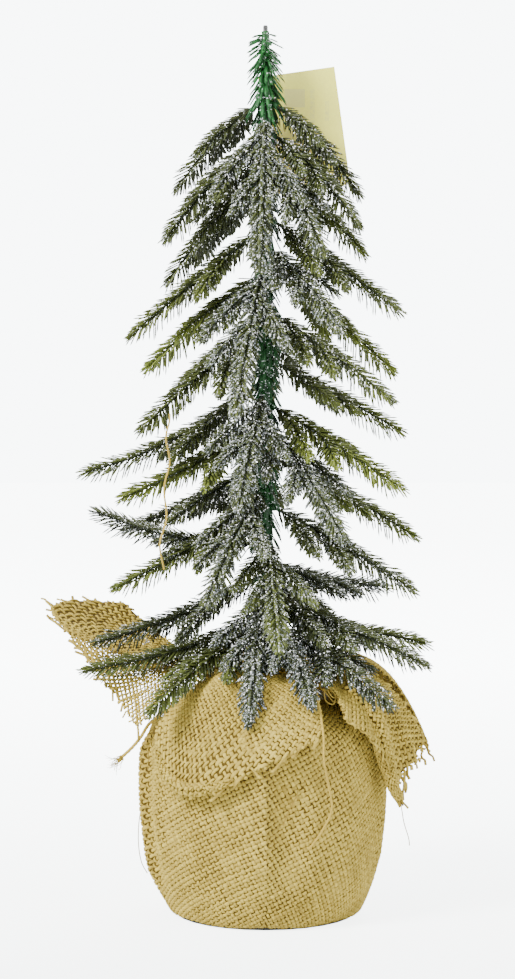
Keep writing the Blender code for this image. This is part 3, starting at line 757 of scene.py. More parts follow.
def read_sprig(joint):
    """A sprig's stem as the frame has it: its root, way out, reach, drop and arch."""
    node = frame["nodes"]["branch_" + joint["child"].removeprefix("sprig_")]
    root, out = np.array(joint["pos_m"]), np.array(way_out(joint))
    points = np.array([v.co[:] for v in node.data.vertices]) - root
    x, z = points @ out, points[:, 2]
    y = points @ np.cross(UP, out)
    on_stem = (abs(y) > 0.3 * STEM_RADIUS) & (abs(y) < 0.9 * STEM_RADIUS) & (x > 0)
    x, z = x[on_stem], z[on_stem]
    far = np.argsort(x * x + z * z)[-4:]
    reach, drop = x[far].mean(), -z[far].mean()
    share = np.clip(x / reach, 0, 1)
    weight = 4 * share * (1 - share)
    arch = ((z + drop * share) * weight).sum() / (weight ** 2).sum()
    return root, out, reach, drop, arch


def spine(root, out, reach, drop, arch, shares):
    """Points of a stem at shares of its reach."""
    shares = np.asarray(shares)[:, None]
    return root + out * reach * shares + UP * (4 * arch * shares * (1 - shares) - drop * shares)


def along_line(line, distances):
    """Points and directions at distances along a line of points."""
    run = run_along(line)
    ahead = unit(np.gradient(line, axis=0))
    return between(distances, run, line), unit(between(distances, run, ahead))


def clothe_stem(soup, form, line, look, start, scale, rng):
    """Needles in whorls around a stem. Returns points on them, where flakes may sit."""
    sizes = bpy.context.scene.tree_needles
    frost, fresh = look
    total = np.linalg.norm(np.diff(line, axis=0), axis=1).sum()
    whorls = np.arange(start, total, sizes.pitch)
    turns = np.tile(np.arange(sizes.around), (len(whorls), 1)) / sizes.around
    turns = turns + 0.25 + rng.normal(0, 0.012, (len(whorls), 1))
    turns = (turns + rng.normal(0, 0.014, turns.shape)).ravel() * 2 * pi
    distance = np.repeat(whorls, sizes.around) + rng.normal(0, 0.12 * sizes.pitch, len(turns))
    distance = np.clip(distance, 0, total - 0.0003)
    base, way = along_line(line, distance)
    side = unit(np.cross(way, UP) + 1e-6)
    up = np.cross(side, way)
    radial = side * np.cos(turns)[:, None] + up * np.sin(turns)[:, None]
    left = np.clip((total - distance) / 0.012, 0, 1)
    sweep = np.radians(44 - 13 * np.sin(turns) + rng.normal(0, 3.5, len(turns))) * (0.35 + 0.65 * left)
    ahead = unit(way * np.cos(sweep)[:, None] + radial * np.sin(sweep)[:, None])
    grown = np.clip(0.80 + distance / (0.20 * total) * 0.20, 0, 1) * (0.60 + 0.40 * left)
    long = sizes.long * scale * grown * rng.uniform(0.82, 1.12, len(turns)) * (1 - 0.08 * np.sin(turns))
    wide = sizes.wide * rng.uniform(0.85, 1.15, len(turns)) * (0.6 + 0.4 * scale)
    thick = np.full(len(turns), sizes.thick)
    flat = up * 1.0 + radial * 0.25
    tipward = np.clip(distance / total, 0, 1)
    add_needles(
        soup, form, base, ahead, flat, long, wide, thick, way * rng.uniform(0.02, 0.16, len(turns))[:, None],
        # Painted shade: the tone is higher on needles that point up and lower on those that point down.
        tone=np.clip(0.50 + 0.30 * np.sin(turns) + rng.normal(0, 0.2, len(turns)), 0.05, 1),
        frost=np.clip(frost * rng.uniform(0.55, 1.25, len(turns)), 0, 1),
        fresh=np.clip(fresh * (0.25 + 0.9 * tipward ** 1.5) * rng.uniform(0.4, 1.3, len(turns)), 0, 1))
    return base + ahead * long[:, None] * rng.uniform(0.3, 0.95, (len(turns), 1))


def add_flakes(soup, places, size, rng):
    """Small glitter flakes, each a flat diamond."""
    form = np.array([(1, 0, 0), (-1, 0, 0), (0, 1, 0), (0, -1, 0), (0, 0, 0.35), (0, 0, -0.35)], float)
    faces = np.array([(0, 2, 4), (2, 1, 4), (1, 3, 4), (3, 0, 4),
                      (2, 0, 5), (1, 2, 5), (3, 1, 5), (0, 3, 5)])
    turn = rng.normal(size=(len(places), 2, 3))
    first = unit(turn[:, 0])
    second = unit(np.cross(first, turn[:, 1]))
    third = np.cross(first, second)
    axes = np.stack([first, second, third], 1)
    half = size / 2 * rng.uniform(0.7, 1.4, (len(places), 1, 1))
    points = places[:, None] + np.einsum("pk,nkc->npc", form, axes) * half
    corners = faces[None] + np.arange(len(places))[:, None, None] * len(form)
    soup.add(points.reshape(-1, 3), [corners.reshape(-1, 3)], material=2)


def build_sprig(joint, form, rng):
    """One sprig: its stem, needles, side twigs and glitter."""
    name = joint["child"].removeprefix("sprig_")
    look = SPRIG_LOOKS.get(name, BACK_LOOK)
    shape = read_sprig(joint)
    inner = -(STEM_RADIUS * 1.2) / shape[2]
    line = spine(*shape, np.linspace(inner, 1.0, 22))
    total = np.linalg.norm(np.diff(line, axis=0), axis=1).sum()
    soup = Soup()
    radius = np.linspace(STEM_RADIUS, 0.45 * STEM_RADIUS, len(line))
    add_tube(soup, line, carried_up(line), radius, radius, sides=6, lobes=2, pitch=0.006, material=1,
             tone=0.3)
    tips = [clothe_stem(soup, form, line, look, 0.0030, 1.0, rng)]
    if total > SHORT_SPRIG:
        for place, turn, share in TWIGS:
            foot, way = along_line(line, np.array([place * total]))
            side = unit(np.cross(way[0], UP))
            twig = unit(way[0] * 0.78 + side * turn * 0.62 - np.array([0.0, 0.0, 0.06]))
            long = share * total * rng.uniform(0.88, 1.08)
            shares = np.linspace(0, 1, 8)[:, None]
            twig_line = foot[0] + twig * long * shares - np.array([0, 0, 0.12]) * long * shares ** 2
            thin = np.linspace(0.7, 0.35, 8) * STEM_RADIUS
            add_tube(soup, twig_line, carried_up(twig_line), thin, thin, sides=5, material=1, tone=0.3)
            tips.append(clothe_stem(soup, form, twig_line, look, 0.002, 0.85, rng))
    tips = np.concatenate(tips)
    count = int((0.15 + 0.85 * look[0]) * len(tips))
    places = tips[rng.integers(0, len(tips), count)] + rng.normal(0, 0.0005, (count, 3))
    add_flakes(soup, places, FLAKE_SIZE, rng)
    pieces = [finish(m) for m in ("needles", "stem", "glitter")]
    soup.piece("needles_" + name, pieces, joint["child"], ["branch_" + name])


class TREE_OT_sprigs(bpy.types.Operator):
    """Clothe each sprig's stem in frosted needles"""
    bl_idname = "tree.sprigs"
    bl_label = "Sprigs"

    def execute(self, context):
        form = needle_form()
        bends = [j for j in frame["joints"] if j["child"].startswith("sprig_")]
        if not bends:
            raise RuntimeError("the frame has no sprigs")
        for number, joint in enumerate(bends):
            build_sprig(joint, form, np.random.default_rng(100 + number))
        return {"FINISHED"}


def trunk_needles(soup, form, levels, radius, long, lift, rng, per_level, **values):
    """Short needles on an upright core: lift 1 points them up, 0 straight out and -1 down."""
    turns = rng.uniform(0, 2 * pi, len(levels) * per_level)
    height = np.repeat(levels, per_level) + rng.normal(0, 0.0008, len(turns))
    out = about_axis(1.0, turns, 0.0)
    core = np.interp(height, *radius) if isinstance(radius, tuple) else np.full(len(turns), radius)
    base = out * (core * 0.9)[:, None]
    base[:, 2] = height
    lift = np.interp(height, *lift) if isinstance(lift, tuple) else np.full(len(turns), lift)
    ahead = unit(out + UP * lift[:, None])
    sizes = np.interp(height, *long) if isinstance(long, tuple) else np.full(len(turns), long)
    sizes = sizes * rng.uniform(0.75, 1.15, len(turns))
    add_needles(soup, form, base, ahead, out * -lift[:, None] + UP + 1e-3, sizes,
                np.full(len(turns), 0.0017), np.full(len(turns), 0.0007),
                np.tile(UP * -0.18, (len(turns), 1)), **values)


class TREE_OT_trunk(bpy.types.Operator):
    """Make the green trunk with the stubs its sprigs grow from, and the leader"""
    bl_idname = "tree.trunk"
    bl_label = "Trunk and leader"

    def execute(self, context):
        rng = np.random.default_rng(5)
        form = needle_form()
        soup = Soup()
        line = np.outer(np.linspace(SLEEVE_FOOT, SLEEVE_TOP, 150), UP)
        ahead = np.tile([1.0, 0.0, 0.0], (len(line), 1))
        add_tube(soup, line, ahead, SLEEVE_RADIUS, SLEEVE_RADIUS, sides=20, lobes=5, pitch=0.035)
        for joint in frame["joints"]:
            if not joint["child"].startswith("sprig_"):
                continue
            root, out, reach, drop, arch = read_sprig(joint)
            way = unit(out * reach + UP * (4 * arch - drop))
            shares = np.linspace(-1, 1, 7)[:, None]
            stub = root + way * shares * STUB_REACH - way * 0.0012
            swell = np.sqrt(np.clip(1.0 - 0.85 * shares[:, 0] ** 2, 0.05, 1)) * 0.0017
            add_tube(soup, stub, carried_up(stub), swell, swell, sides=8)
        levels = np.arange(NECK_TOP + 0.004, SLEEVE_TOP - 0.002, 0.0022)
        trunk_needles(soup, form, levels, SLEEVE_RADIUS, 0.0085, -1.5, rng, 5)
        soup.piece("trunk_film", [finish("trunk_green")], "base", ["trunk_sleeve"])

        soup = Soup()
        core = ([LEADER_FOOT, LEADER_TOP], [0.0034, 0.0020])
        line = np.outer(np.linspace(LEADER_FOOT, LEADER_TOP, 24), UP)
        add_tube(soup, line, np.tile([1.0, 0.0, 0.0], (24, 1)), np.interp(line[:, 2], *core),
                 np.interp(line[:, 2], *core), sides=14, lobes=5, pitch=0.02)
        middle = LEADER_FOOT + 0.6 * (LEADER_TOP - LEADER_FOOT)
        spans = [LEADER_FOOT, middle, LEADER_TOP]
        trunk_needles(soup, form, np.arange(LEADER_FOOT + 0.001, LEADER_TOP - 0.0012, 0.0016), core,
                      (spans, [0.0115, 0.0092, 0.0058]), (spans, [-1.3, -0.8, 0.1]), rng, 7)
        soup.piece("leader_film", [finish("leader_green")], "base", ["top_leader"])
        return {"FINISHED"}


# ---------------------------------------------------------------- woven cloth

def weave(soup, place, width, height, pitch, turn, inside, fray, rng, yarn, sides=6, offset=None):
    """Over-and-under yarns on a cloth. place(u, v, lift) gives points and normals. Cloths with an
    offset share one weave, in which each starts at its own offset."""
    yarn_wide, yarn_thick, crimp = yarn
    reach = int((width ** 2 + height ** 2) ** 0.5 / 2 / pitch) + 2
    c, s = cos(radians(turn)), sin(radians(turn))
    offset = -width / 2 if offset is None else offset
    middle = (round((offset + width / 2) * c / pitch), round(-(offset + width / 2) * s / pitch))
    for family in (0, 1):
        steps = np.arange(-reach, reach, 0.5) + 0.25 + middle[1 - family]
        for index in range(middle[family] - reach, middle[family] + reach + 1):
            drift = 0.07 * np.sin(steps * rng.uniform(0.10, 0.35) + rng.uniform(0, 6.3)) + rng.normal(0, 0.04)
            a, b = (index + drift, steps) if family == 0 else (steps, index + drift)
            u = pitch * (a * c - b * s) - offset
            v = height / 2 + pitch * (a * s + b * c)
            kept = np.concatenate([[False], inside(u, v), [False]])
            edges = np.flatnonzero(np.diff(kept.astype(int)))
            tone, seed, full = rng.uniform(0.15, 1.0), rng.uniform(0, 9), rng.uniform(0.86, 1.14)
            over = np.cos(pi * (np.round(steps) + index)) * (1 if family == 0 else -1)
            for first, last in zip(edges[::2], edges[1::2]):
                if last - first < 4:
                    continue
                ends = [fray(u[k], v[k]) * rng.uniform(0.15, 1.0) for k in (first, last - 1)]
                start = max(first - int(2 * ends[0] / pitch), 0)
                stop = min(last + int(2 * ends[1] / pitch), len(steps))
                index_here = np.arange(start, stop)
                inner = np.clip(np.minimum(index_here - first, last - 1 - index_here), -30, 0)
                loose = rng.normal(0, 0.00022, stop - start).cumsum() * (inner < 0)
                run_u, run_v = u[start:stop] + loose, v[start:stop] + loose * rng.choice([-1, 1])
                points, normals, shrink = place(run_u, run_v, over[start:stop] * crimp)
                points = points + np.array([0, 0, -1.0]) * (inner * pitch / 2)[:, None] ** 2 * 14
                # Painted shade: each yarn is darker where it dips under the yarns that it crosses, on top of
                # its own random tone.
                shade = tone * 0.55 + 0.45 * (over[start:stop] > 0)
                shade = np.clip(shade + rng.normal(0, 0.06, stop - start), 0, 1)
                slub = 1 + 0.16 * np.sin(steps[start:stop] * rng.uniform(0.2, 0.6) + rng.uniform(0, 6))
                slub = slub + rng.normal(0, 0.05, stop - start)
                wide = yarn_wide / 2 * full * slub * shrink
                add_tube(soup, points, normals, wide, yarn_thick / 2 * np.clip(slub, 0.8, 1.2),
                         sides=sides, tone=shade, seed=seed)


def close_yarn():
    """The close weave's yarn: its width, thickness and crimp."""
    sizes = bpy.context.scene.tree_cloth
    return sizes.yarn, sizes.yarn_thick, sizes.crimp


def open_yarn():
    """The open weave's thinner yarn."""
    return tuple(size * share for size, share in zip(close_yarn(), (0.88, 0.80, 0.8)))


def cut_area(place, width, height):
    """The flat area that a cloth was cut to, no more than its rectangle, from its surface."""
    u, v = np.meshgrid(np.linspace(0, width, 40), np.linspace(0, height, 40))
    points = place(u.ravel(), v.ravel(), np.zeros(u.size))[0].reshape(40, 40, 3)
    cells = np.cross(points[1:, 1:] - points[:-1, :-1], points[1:, :-1] - points[:-1, 1:])
    return round(min(np.linalg.norm(cells, axis=-1).sum() / 2, round(width, 3) * round(height, 3)), 6)


def shade_sheet(name, place, width, height, node, share=1.0):
    """A thin dark layer that the raised yarns lie on, painted shade that shows in the gaps between them.
    A share below 1 is the close part of a cloth whose rest is open."""
    columns, rows = int(share * width / SHADE_SHEET_CELL), int(height / SHADE_SHEET_CELL)
    u, v = np.meshgrid(np.linspace(0.0003, share * width - 0.0003, columns),
                       np.linspace(0.0003, height - 0.0009, rows))
    points, _, _ = place(u.ravel(), v.ravel(), np.full(u.size, 0.00005))
    start = (np.arange(rows - 1)[:, None] * columns + np.arange(columns - 1)[None]).ravel()
    soup = Soup()
    yarn = np.stack([u.ravel(), v.ravel(), np.zeros(u.size)], -1)
    soup.add(points, [np.stack([start, start + 1, start + columns + 1, start + columns], -1)], yarn)
    obj = soup.piece(name, [finish("burlap_shade_sheet")], "base", [node])
    deselect()
    bpy.context.view_layer.objects.active = obj
    thick = obj.modifiers.new("cloth", "SOLIDIFY")
    thick.thickness = SHADE_SHEET_THICKNESS
    thick.offset = 0.0
    bpy.ops.object.modifier_apply(modifier="cloth")
    cut_area(place, share * width, height)


def wrap_outline():
    """The wrap's outer outline from under its foot to its neck: lengths, radii, heights, normals."""
    mesh = frame["nodes"]["burlap_wrap"].data
    points = np.array([v.co[:] for v in mesh.vertices])
    ends = np.array([e.vertices[:] for e in mesh.edges])
    a, b = points[ends[:, 0]], points[ends[:, 1]]
    tall = abs(b[:, 2] - a[:, 2]) > 1e-6
    a, b = a[tall], b[tall]
    low, high = points[:, 2].min(), points[:, 2].max()
    levels = np.concatenate([[low + 0.0001, low + 0.0006], np.linspace(low + 0.0018, high - 0.0001, 60)])
    radii = []
    for level in levels:
        share = (level - a[:, 2]) / (b[:, 2] - a[:, 2])
        crossing = (share >= 0) & (share <= 1)
        at = a[crossing] + (b[crossing] - a[crossing]) * share[crossing][:, None]
        radii.append(np.hypot(at[:, 0], at[:, 1]).max())
    radii = np.concatenate([[radii[0] - 0.003], radii])
    levels = np.concatenate([[low + 0.0001], levels])
    radii[3:-8] = np.convolve(np.pad(radii, 1, mode="edge"), [0.25, 0.5, 0.25], "valid")[3:-8]
    run = np.concatenate([[0.0], np.cumsum(np.hypot(np.diff(radii), np.diff(levels)))])
    out, up = np.gradient(radii, run), np.gradient(levels, run)
    size = np.hypot(out, up)
    return run, radii, levels, up / size, -out / size


def build_panel(name, outline, rng):
    """One panel of the wrap, woven on the body's shape with its folds."""
    start, end = PANELS[name]
    run, radii, levels, normal_r, normal_z = outline
    sizes = bpy.context.scene.tree_cloth
    width, height = radians(end - start) * BODY_RADIUS, run[-1]

    def place(u, v, lift):
        angle = radians(start) + u / BODY_RADIUS
        r, z = np.interp(v, run, radii), np.interp(v, run, levels)
        nr, nz = np.interp(v, run, normal_r), np.interp(v, run, normal_z)
        push = lift - GAP - 0.0003 * np.sin(angle * 7 + z * 90)
        degrees = np.degrees(angle) % 360
        for where, before, after, tall, low, high in FOLDS:
            apart = (degrees - where + 180) % 360 - 180 + 30 * (z - low)
            half = np.where(apart < 0, before, after)
            fade = np.clip((z - low * 0.4) / low, 0, 1) * np.clip((high + 0.012 - z) / 0.012, 0, 1)
            push = push + tall * np.exp(-(apart / half) ** 2) * fade
        r, z = r + nr * push, z + nz * push
        return about_axis(r, angle, z), about_axis(nr, angle, nz), np.clip(r / BODY_RADIUS * 1.1, 0.45, 1.0)

    def inside(u, v):
        return (u > 0) & (u < width) & (v > 0) & (v < height - 0.0005)

    soup = Soup()
    weave(soup, place, width, height, sizes.pitch, WEAVE_TURN, inside, lambda u, v: 0.0, rng, close_yarn(),
          offset=radians(start) * BODY_RADIUS)
    yarns = soup.piece(name + "_yarns", [finish("burlap")], "base", ["burlap_wrap"])
    # Under the panel's yarns, a dark layer of painted shade that shows between them.
    shade_sheet(name, place, width, height, "burlap_wrap")


class TREE_OT_wrap(bpy.types.Operator):
    """Weave the burlap that wraps the base, in three panels"""
    bl_idname = "tree.wrap"
    bl_label = "Burlap wrap"

    def execute(self, context):
        outline = wrap_outline()
        for number, name in enumerate(PANELS):
            build_panel(name, outline, np.random.default_rng(20 + number))
        return {"FINISHED"}


def spread_along(points, shares):
    """Points with directions that never jump back, read along a smooth curve at shares of it."""
    knots, turn = [], 0
    for direction, outside, above in points:
        if knots and direction + turn < knots[-1][0] - 180:
            turn += 360
        knots.append((direction + turn, outside, above))
    curve = curve_through(knots, 101)
    at = np.clip(shares, 0, 1) * 100
    polar = between(at, np.arange(101), curve)
    radius, angle = BODY_RADIUS + polar[:, 1] / 1000, np.radians(polar[:, 0])
    return about_axis(radius, angle, NECK_TOP + polar[:, 2] / 1000)


def flap_point(name, across, out):
    """Points of a flap's middle surface: across it, and out from the neck to the hem, from 0 to 1."""
    (start, end), crest, hem = FLAPS[name][:3]
    end += 360 if end < start else 0
    angle = np.radians(start + (end - start) * across)
    radius = NECK_RADIUS - CLOTH_THICKNESS / 2
    root = about_axis(radius, angle, NECK_TOP + CLOTH_THICKNESS / 2 + GAP)
    middle, edge = spread_along(crest, across), spread_along(hem, across)
    control = middle * 2 - (root + edge) / 2
    out = np.asarray(out)[:, None]
    inner = np.minimum(out, 1.0)
    point = root * (1 - inner) ** 2 + control * 2 * inner * (1 - inner) + edge * inner ** 2
    return point + (edge - control) * 2 * np.clip(out - 1, 0, None)


def flap_surface(name, width, height):
    """The place function of a flap: cloth coordinates in metres to points, normals and yarn width."""
    def place(u, v, lift):
        across, out = u / width, v / height
        inner = np.clip(across, 0, 1)
        point = flap_point(name, inner, out)
        step = 0.01
        before, after = np.clip(inner - step, 0, 1), np.clip(inner + step, 0, 1)
        right = (flap_point(name, after, out) - flap_point(name, before, out)) / (after - before)[:, None]
        down = (flap_point(name, inner, out + step) - flap_point(name, inner, out - step)) / (2 * step)
        point = point + right * (across - inner)[:, None]
        normals = unit(np.cross(down, right))
        ripple = 0.0005 * np.sin(across * 23 + out * 4) * np.clip(out, 0, 1)
        girth = np.linalg.norm(right, axis=1) / width
        return point + normals * (lift + ripple)[:, None], normals, np.clip(girth, 0.5, 1.0)
    return place


def build_roll(name, rng):
    """A rolled edge of a flap, woven round its own line."""
    route, radii = ROLLS[name]
    line = curve_through([near_body(*p) for p in route], 80)
    ahead, ups = unit(np.gradient(line, axis=0)), carried_up(line)
    run = run_along(line)
    thick = np.interp(np.linspace(0, len(radii) - 1, 80), range(len(radii)), radii)
    widest = max(radii)

    def place(u, v, lift):
        at, way, up = (between(v, run, rows) for rows in (line, ahead, ups))
        radius, side = np.interp(v, run, thick), np.cross(way, up)
        angle = u / widest
        normals = unit(side * np.cos(angle)[:, None] + up * np.sin(angle)[:, None])
        ripple = radius * (1 + 0.10 * np.sin(2 * angle + v * 260) + 0.05 * np.sin(v * 700))
        beyond = way * (v - np.clip(v, 0, run[-1]))[:, None]
        return at + normals * (ripple + lift)[:, None] + beyond, normals, np.clip(radius / widest, 0.45, 1)

    def inside(u, v):
        return (u > 0) & (u < 2 * pi * widest) & (v > 0) & (v < run[-1])

    def fray(u, v):
        return 0.004 if v > 0.8 * run[-1] else 0.0

    soup = Soup()
    weave(soup, place, 2 * pi * widest, run[-1], ROLL_PITCH, ROLL_TURN, inside, fray, rng, close_yarn(),
          sides=5)
    # A dark core under the roll's yarns: painted shade that shows between them.
    add_tube(soup, line, ups, thick * 0.92, thick * 0.92, sides=12, material=1, tone=0.3)
    return soup.piece(name + "_roll", [finish("burlap"), finish("burlap_shade_sheet")], "base", [name])


class TREE_OT_collar(bpy.types.Operator):
    """Weave the four flaps of the collar, frayed along their hems"""
    bl_idname = "tree.collar"
    bl_label = "Collar"

    def execute(self, context):
        for number, (name, row) in enumerate(FLAPS.items()):
            turn, pitch, frays, share = row[3:]
            rng = np.random.default_rng(40 + number)
            shares = np.linspace(0, 1, 41)
            hem = flap_point(name, shares, np.ones(41))
            middle = flap_point(name, np.full(41, 0.5), shares)
            width = 0.85 * float(np.linalg.norm(np.diff(hem, axis=0), axis=1).sum())
            height = float(np.linalg.norm(np.diff(middle, axis=0), axis=1).sum())
            place = flap_surface(name, width, height)

            def inside(u, v):
                return (u > 0) & (u < width) & (v > 0) & (v < height)

            def fray(u, v):
                if v < 0.5 * height and 0.04 * width < u < 0.96 * width:
                    return 0.0
                return float(np.interp(u / width, np.linspace(0, 1, len(frays)), frays))

            soup = Soup()
            yarn = close_yarn() if share == 1 else open_yarn()
            weave(soup, place, width, height, pitch, turn, inside, fray, rng, yarn)
            yarns = soup.piece(name + "_yarns", [finish("burlap")], "base", [name])
            rolled = [build_roll(name, rng)] if name in ROLLS else []
            # Under the flap's close weave, a dark layer of painted shade that shows between the yarns.
            shade_sheet(name + "_cloth", place, width, height, name, share)
        return {"FINISHED"}


def add_hair(soup, foot, way, normal, long, thick, rng, **values):
    """One loose hair: it leaves the cloth and curls back."""
    shares = np.linspace(0, 1, 5)[:, None]
    curl = unit(np.cross(way, normal)) * rng.normal(0, 0.5)
    line = foot + (way * shares + normal * (shares - shares ** 2) * rng.uniform(0.4, 1.6)
                   + curl * shares ** 2) * long
    taper = np.linspace(1.0, 0.35, 5)
    add_tube(soup, line, carried_up(line), thick, thick, sides=3, taper=taper, **values)


class TREE_OT_fuzz(bpy.types.Operator):
    """Scatter the cloth's loose hairs and stray threads, and fray the end of the tie"""
    bl_idname = "tree.fuzz"
    bl_label = "Fuzz"

    def execute(self, context):
        sizes = context.scene.tree_cloth
        rng = np.random.default_rng(7)
        run, radii, levels, normal_r, normal_z = wrap_outline()
        soup = Soup()
        for _ in range(sizes.hairs):
            if rng.uniform() < 0.6:
                angle, v = rng.uniform(0, 2 * pi), rng.uniform(0.05, 0.9) * run[-1]
                r, z = np.interp(v, run, radii), np.interp(v, run, levels)
                nr, nz = np.interp(v, run, normal_r), np.interp(v, run, normal_z)
                foot = np.array([r * cos(angle), r * sin(angle), z])
                normal = np.array([nr * cos(angle), nr * sin(angle), nz])
            else:
                name = rng.choice(list(FLAPS))
                u, v = rng.uniform(0.02, 0.98), rng.uniform(0.3, 1.0)
                across, out = np.array([u, min(u + 0.01, 1), u]), np.array([v, v, v - 0.01])
                foot, right, down = flap_point(name, across, out)
                normal = unit(np.cross(foot - down, right - foot))
            way = unit(np.cross(normal, rng.normal(size=3)))
            add_hair(soup, foot, way, normal, sizes.hair * rng.uniform(0.4, 1.3), 0.00008, rng,
                     tone=rng.uniform(0.5, 1.0))
        for route in STRAYS:
            line = curve_through([near_body(*p) for p in route], 40)
            add_tube(soup, line, carried_up(line), 0.00032, 0.00026, sides=5, tone=0.2)
        end = np.array(near_body(*TIE_END_ROUTE[-1]))
        before = np.array(near_body(*TIE_END_ROUTE[-2]))
        for _ in range(26):
            way = unit(unit(end - before) + rng.normal(0, 0.22, 3))
            add_hair(soup, end - way * 0.003, way, unit(rng.normal(size=3)), rng.uniform(0.006, 0.010),
                     0.00022, rng, tone=rng.uniform(0.1, 0.8))
        soup.piece("burlap_hairs", [finish("burlap")])
        return {"FINISHED"}


# ---------------------------------------------------------------- tie, wadding and tag

class TREE_OT_tie(bpy.types.Operator):
    """Wind the twine round the neck, and stuff the neck with wadding"""
    bl_idname = "tree.tie"
    bl_label = "Tie and wadding"

    def execute(self, context):
        low, high = (np.array(c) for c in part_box("neck_tie"))
        radius = (high[2] - low[2]) / 2
        ring, level = high[0] - radius, (low[2] + high[2]) / 2
        turns = np.linspace(0, 3 * 2 * pi, 260)
        line = about_axis(ring, turns, level + radius * 1.5 * (turns / turns[-1] - 0.5) * 2)
        soup = Soup()
        add_tube(soup, line, carried_up(line), radius * 0.8, radius * 0.8, sides=9, lobes=3, pitch=0.008,
                 tone=0.7)
        soup.piece("neck_twine", [finish("jute")], "base", ["neck_tie"])

        low, high = (np.array(c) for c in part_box("wadding_ring"))
        deselect()
        inner = SLEEVE_RADIUS + 0.0004
        outer = 0.8 * high[0]
        middle = (outer + inner) / 2
        bpy.ops.mesh.primitive_torus_add(major_radius=middle, minor_radius=(outer - inner) / 2,
                                         major_segments=72, minor_segments=24,
                                         location=(0, 0, (low[2] + high[2]) / 2))
        obj = context.object
        obj.name = "wadding"
        bpy.ops.object.transform_apply(location=True)
        flat = (high[2] - low[2]) / (outer - inner)
        bpy.ops.object.mode_set(mode="EDIT")
        bpy.ops.mesh.select_all(action="SELECT")
        bpy.ops.transform.resize(value=(1, 1, flat * 0.85), center_override=(0, 0, (low[2] + high[2]) / 2))
        bpy.ops.object.mode_set(mode="OBJECT")
        texture = bpy.data.textures.new("tufts", "CLOUDS")
        texture.noise_scale = 0.006
        tufts = obj.modifiers.new("tufts", "DISPLACE")
        tufts.texture = texture
        tufts.strength = 0.0012
        tufts.mid_level = 0.8
        bpy.ops.object.modifier_apply(modifier="tufts")
        obj.data.shade_smooth()
        obj.data.materials.append(finish("wadding"))
        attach(obj, "base")
        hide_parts("wadding_ring")
        return {"FINISHED"}


def tag_material():
    """Cream paper with fine fibres, a blank faint block and two mottled strips."""
    colours = bpy.context.scene.tree_colours
    made, tree, shader, place = new_material("tag_paper", Specular_IOR_Level=0.25, Subsurface_Weight=0.15)
    low, high = (Vector(c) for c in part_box("hang_tag"))
    middle = (low + high) / 2
    local = put(tree, "ShaderNodeMapping", {"Vector": place, "Location": middle * -1}).outputs[0]
    apart = put(tree, "ShaderNodeSeparateXYZ", {"Vector": local}).outputs
    patches = mottle(tree, place, 45.0)
    fibres = mottle(tree, place, 900.0)
    paper = mixed(tree, maths(tree, "MULTIPLY", patches, 0.5), tuple(colours.paper), (0.92, 0.89, 0.15))
    paper = mixed(tree, maths(tree, "MULTIPLY", fibres, 0.25), paper, (0.66, 0.60, 0.08))

    def block(x, z, half_x, half_z):
        from_x = maths(tree, "ABSOLUTE", maths(tree, "SUBTRACT", apart[0], x))
        from_z = maths(tree, "ABSOLUTE", maths(tree, "SUBTRACT", apart[2], z))
        return maths(tree, "MULTIPLY", maths(tree, "LESS_THAN", from_x, half_x),
                     maths(tree, "LESS_THAN", from_z, half_z))

    marks = mottle(tree, place, 620.0)
    strips = maths(tree, "ADD", block(0.0040, 0.0125, 0.0012, 0.0085), block(0.0115, 0.0100, 0.0010, 0.0050))
    print_mask = maths(tree, "ADD", maths(tree, "MULTIPLY", strips, maths(tree, "MULTIPLY", marks, 0.30)),
                       maths(tree, "MULTIPLY", block(-0.0050, 0.0165, 0.0052, 0.0046), 0.34))
    printed = mixed(tree, print_mask, paper, (0.30, 0.31, 0.25))
    tree.links.new(printed, shader.inputs["Base Color"])
    roughness(tree, shader, fibres, 0.55, 0.8)
    bump(tree, shader, fibres, 0.15, 0.0001)
    return made


class TREE_OT_materials(bpy.types.Operator):
    """Make the finishes that the pieces share"""
    bl_idname = "tree.materials"
    bl_label = "Finishes"

    def execute(self, context):
        colours = context.scene.tree_colours
        needle_material()
        glitter_painted_glint_material()
        stem_material()
        # Two copies of the emerald film: the trunk's darker, painted shade among the sprigs, the leader's
        # lighter, painted light at the top.
        emerald_material("trunk_green", 0.75, 0.20)
        emerald_material("leader_green", 1.2, 0.05)
        yarn_material("burlap", tuple(colours.straw), tuple(colours.tan), 2600.0)
        # The dark layer's finish, a darker tan: painted shade that shows between the yarns and inside the
        # rolls.
        yarn_material("burlap_shade_sheet", tuple(c * 0.5 for c in colours.tan),
                      tuple(c * 0.3 for c in colours.tan), 2600.0)
        yarn_material("jute", tuple(colours.jute), tuple(c * 0.6 for c in colours.jute), 1800.0)
        mottled_material("wadding", (0.62, 0.60, 0.55), (0.80, 0.79, 0.74), 300.0, 0.85, 0.0006)
        return {"FINISHED"}


def dress(node, made):
    """Give a carried-over part of the frame its finish."""
    mesh = frame["nodes"][node].data
    mesh.materials.clear()
    mesh.materials.append(made)


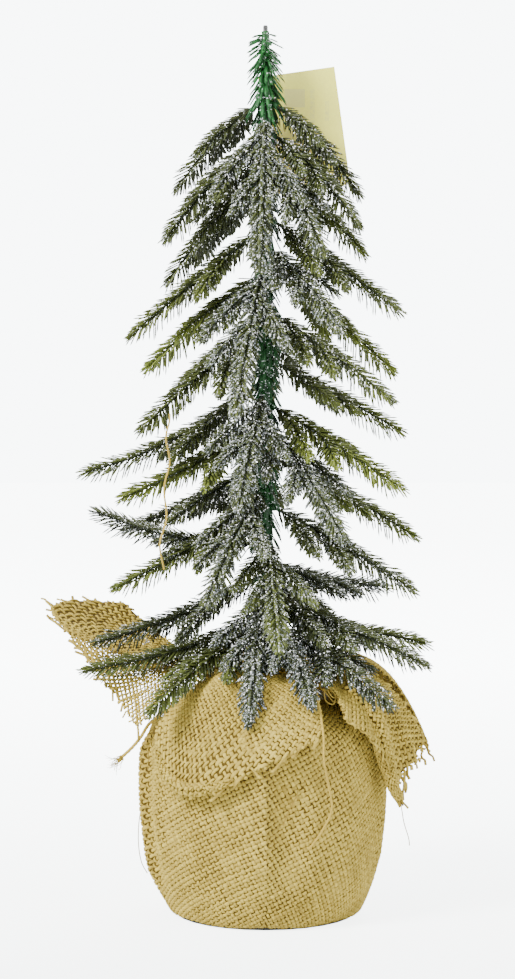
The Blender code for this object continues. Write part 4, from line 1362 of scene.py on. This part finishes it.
class TREE_OT_carried(bpy.types.Operator):
    """Finish the parts that keep the frame's own shape"""
    bl_idname = "tree.carried"
    bl_label = "Tag, cup, wire and pad"

    def execute(self, context):
        dress("hang_tag", tag_material())
        dress("base_cup", mottled_material("cup_plastic", (0.075, 0.048, 0.022), (0.115, 0.075, 0.035),
                                           120.0, 0.5, 0.0002))
        dress("cement_fill", mottled_material("cement", (0.26, 0.25, 0.24), (0.42, 0.41, 0.39), 500.0,
                                              0.8, 0.001))
        dress("base_pad", mottled_material("pad_felt", (0.012, 0.012, 0.013), (0.045, 0.045, 0.047), 1500.0,
                                           0.85, 0.0004))
        dress("trunk_wire", mottled_material("steel_wire", (0.10, 0.10, 0.10), (0.22, 0.22, 0.21), 700.0,
                                             0.35, 0.0001, Metallic=1.0))
        thread = mottled_material("clear_thread", (0.85, 0.87, 0.88), (0.95, 0.96, 0.97), 400.0, 0.1, 0.0001,
                                  Transmission_Weight=0.7, IOR=1.5)
        dress("tag_thread", thread)
        return {"FINISHED"}


class TREE_PT_panel(bpy.types.Panel):
    """The tree's sizes, colours and steps"""
    bl_label = "Tabletop tree"
    bl_idname = "TREE_PT_panel"
    bl_space_type = "VIEW_3D"
    bl_region_type = "UI"
    bl_category = "Tree"

    def draw(self, context):
        for settings in (context.scene.tree_needles, context.scene.tree_cloth, context.scene.tree_colours):
            box = self.layout.box()
            for name in settings.__annotations__:
                box.prop(settings, name)
        for operator in OPERATORS:
            self.layout.operator(operator.bl_idname)


SETTINGS = {"tree_needles": NeedleSizes, "tree_cloth": ClothSizes, "tree_colours": TreeColours}
OPERATORS = [TREE_OT_stage, TREE_OT_materials, TREE_OT_cords, TREE_OT_trunk, TREE_OT_sprigs, TREE_OT_wrap,
             TREE_OT_collar, TREE_OT_fuzz, TREE_OT_tie, TREE_OT_carried]


def register():
    for settings in SETTINGS.values():
        bpy.utils.register_class(settings)
    for name, settings in SETTINGS.items():
        setattr(bpy.types.Scene, name, PointerProperty(type=settings))
    for operator in OPERATORS:
        bpy.utils.register_class(operator)
    bpy.utils.register_class(TREE_PT_panel)


def unregister():
    bpy.utils.unregister_class(TREE_PT_panel)
    for operator in reversed(OPERATORS):
        bpy.utils.unregister_class(operator)
    for name, settings in SETTINGS.items():
        delattr(bpy.types.Scene, name)
        bpy.utils.unregister_class(settings)


def main():
    """Register the classes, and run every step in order."""
    register()
    for operator in OPERATORS:
        getattr(bpy.ops.tree, operator.bl_idname.removeprefix("tree."))()


if __name__ == "__main__":
    main()
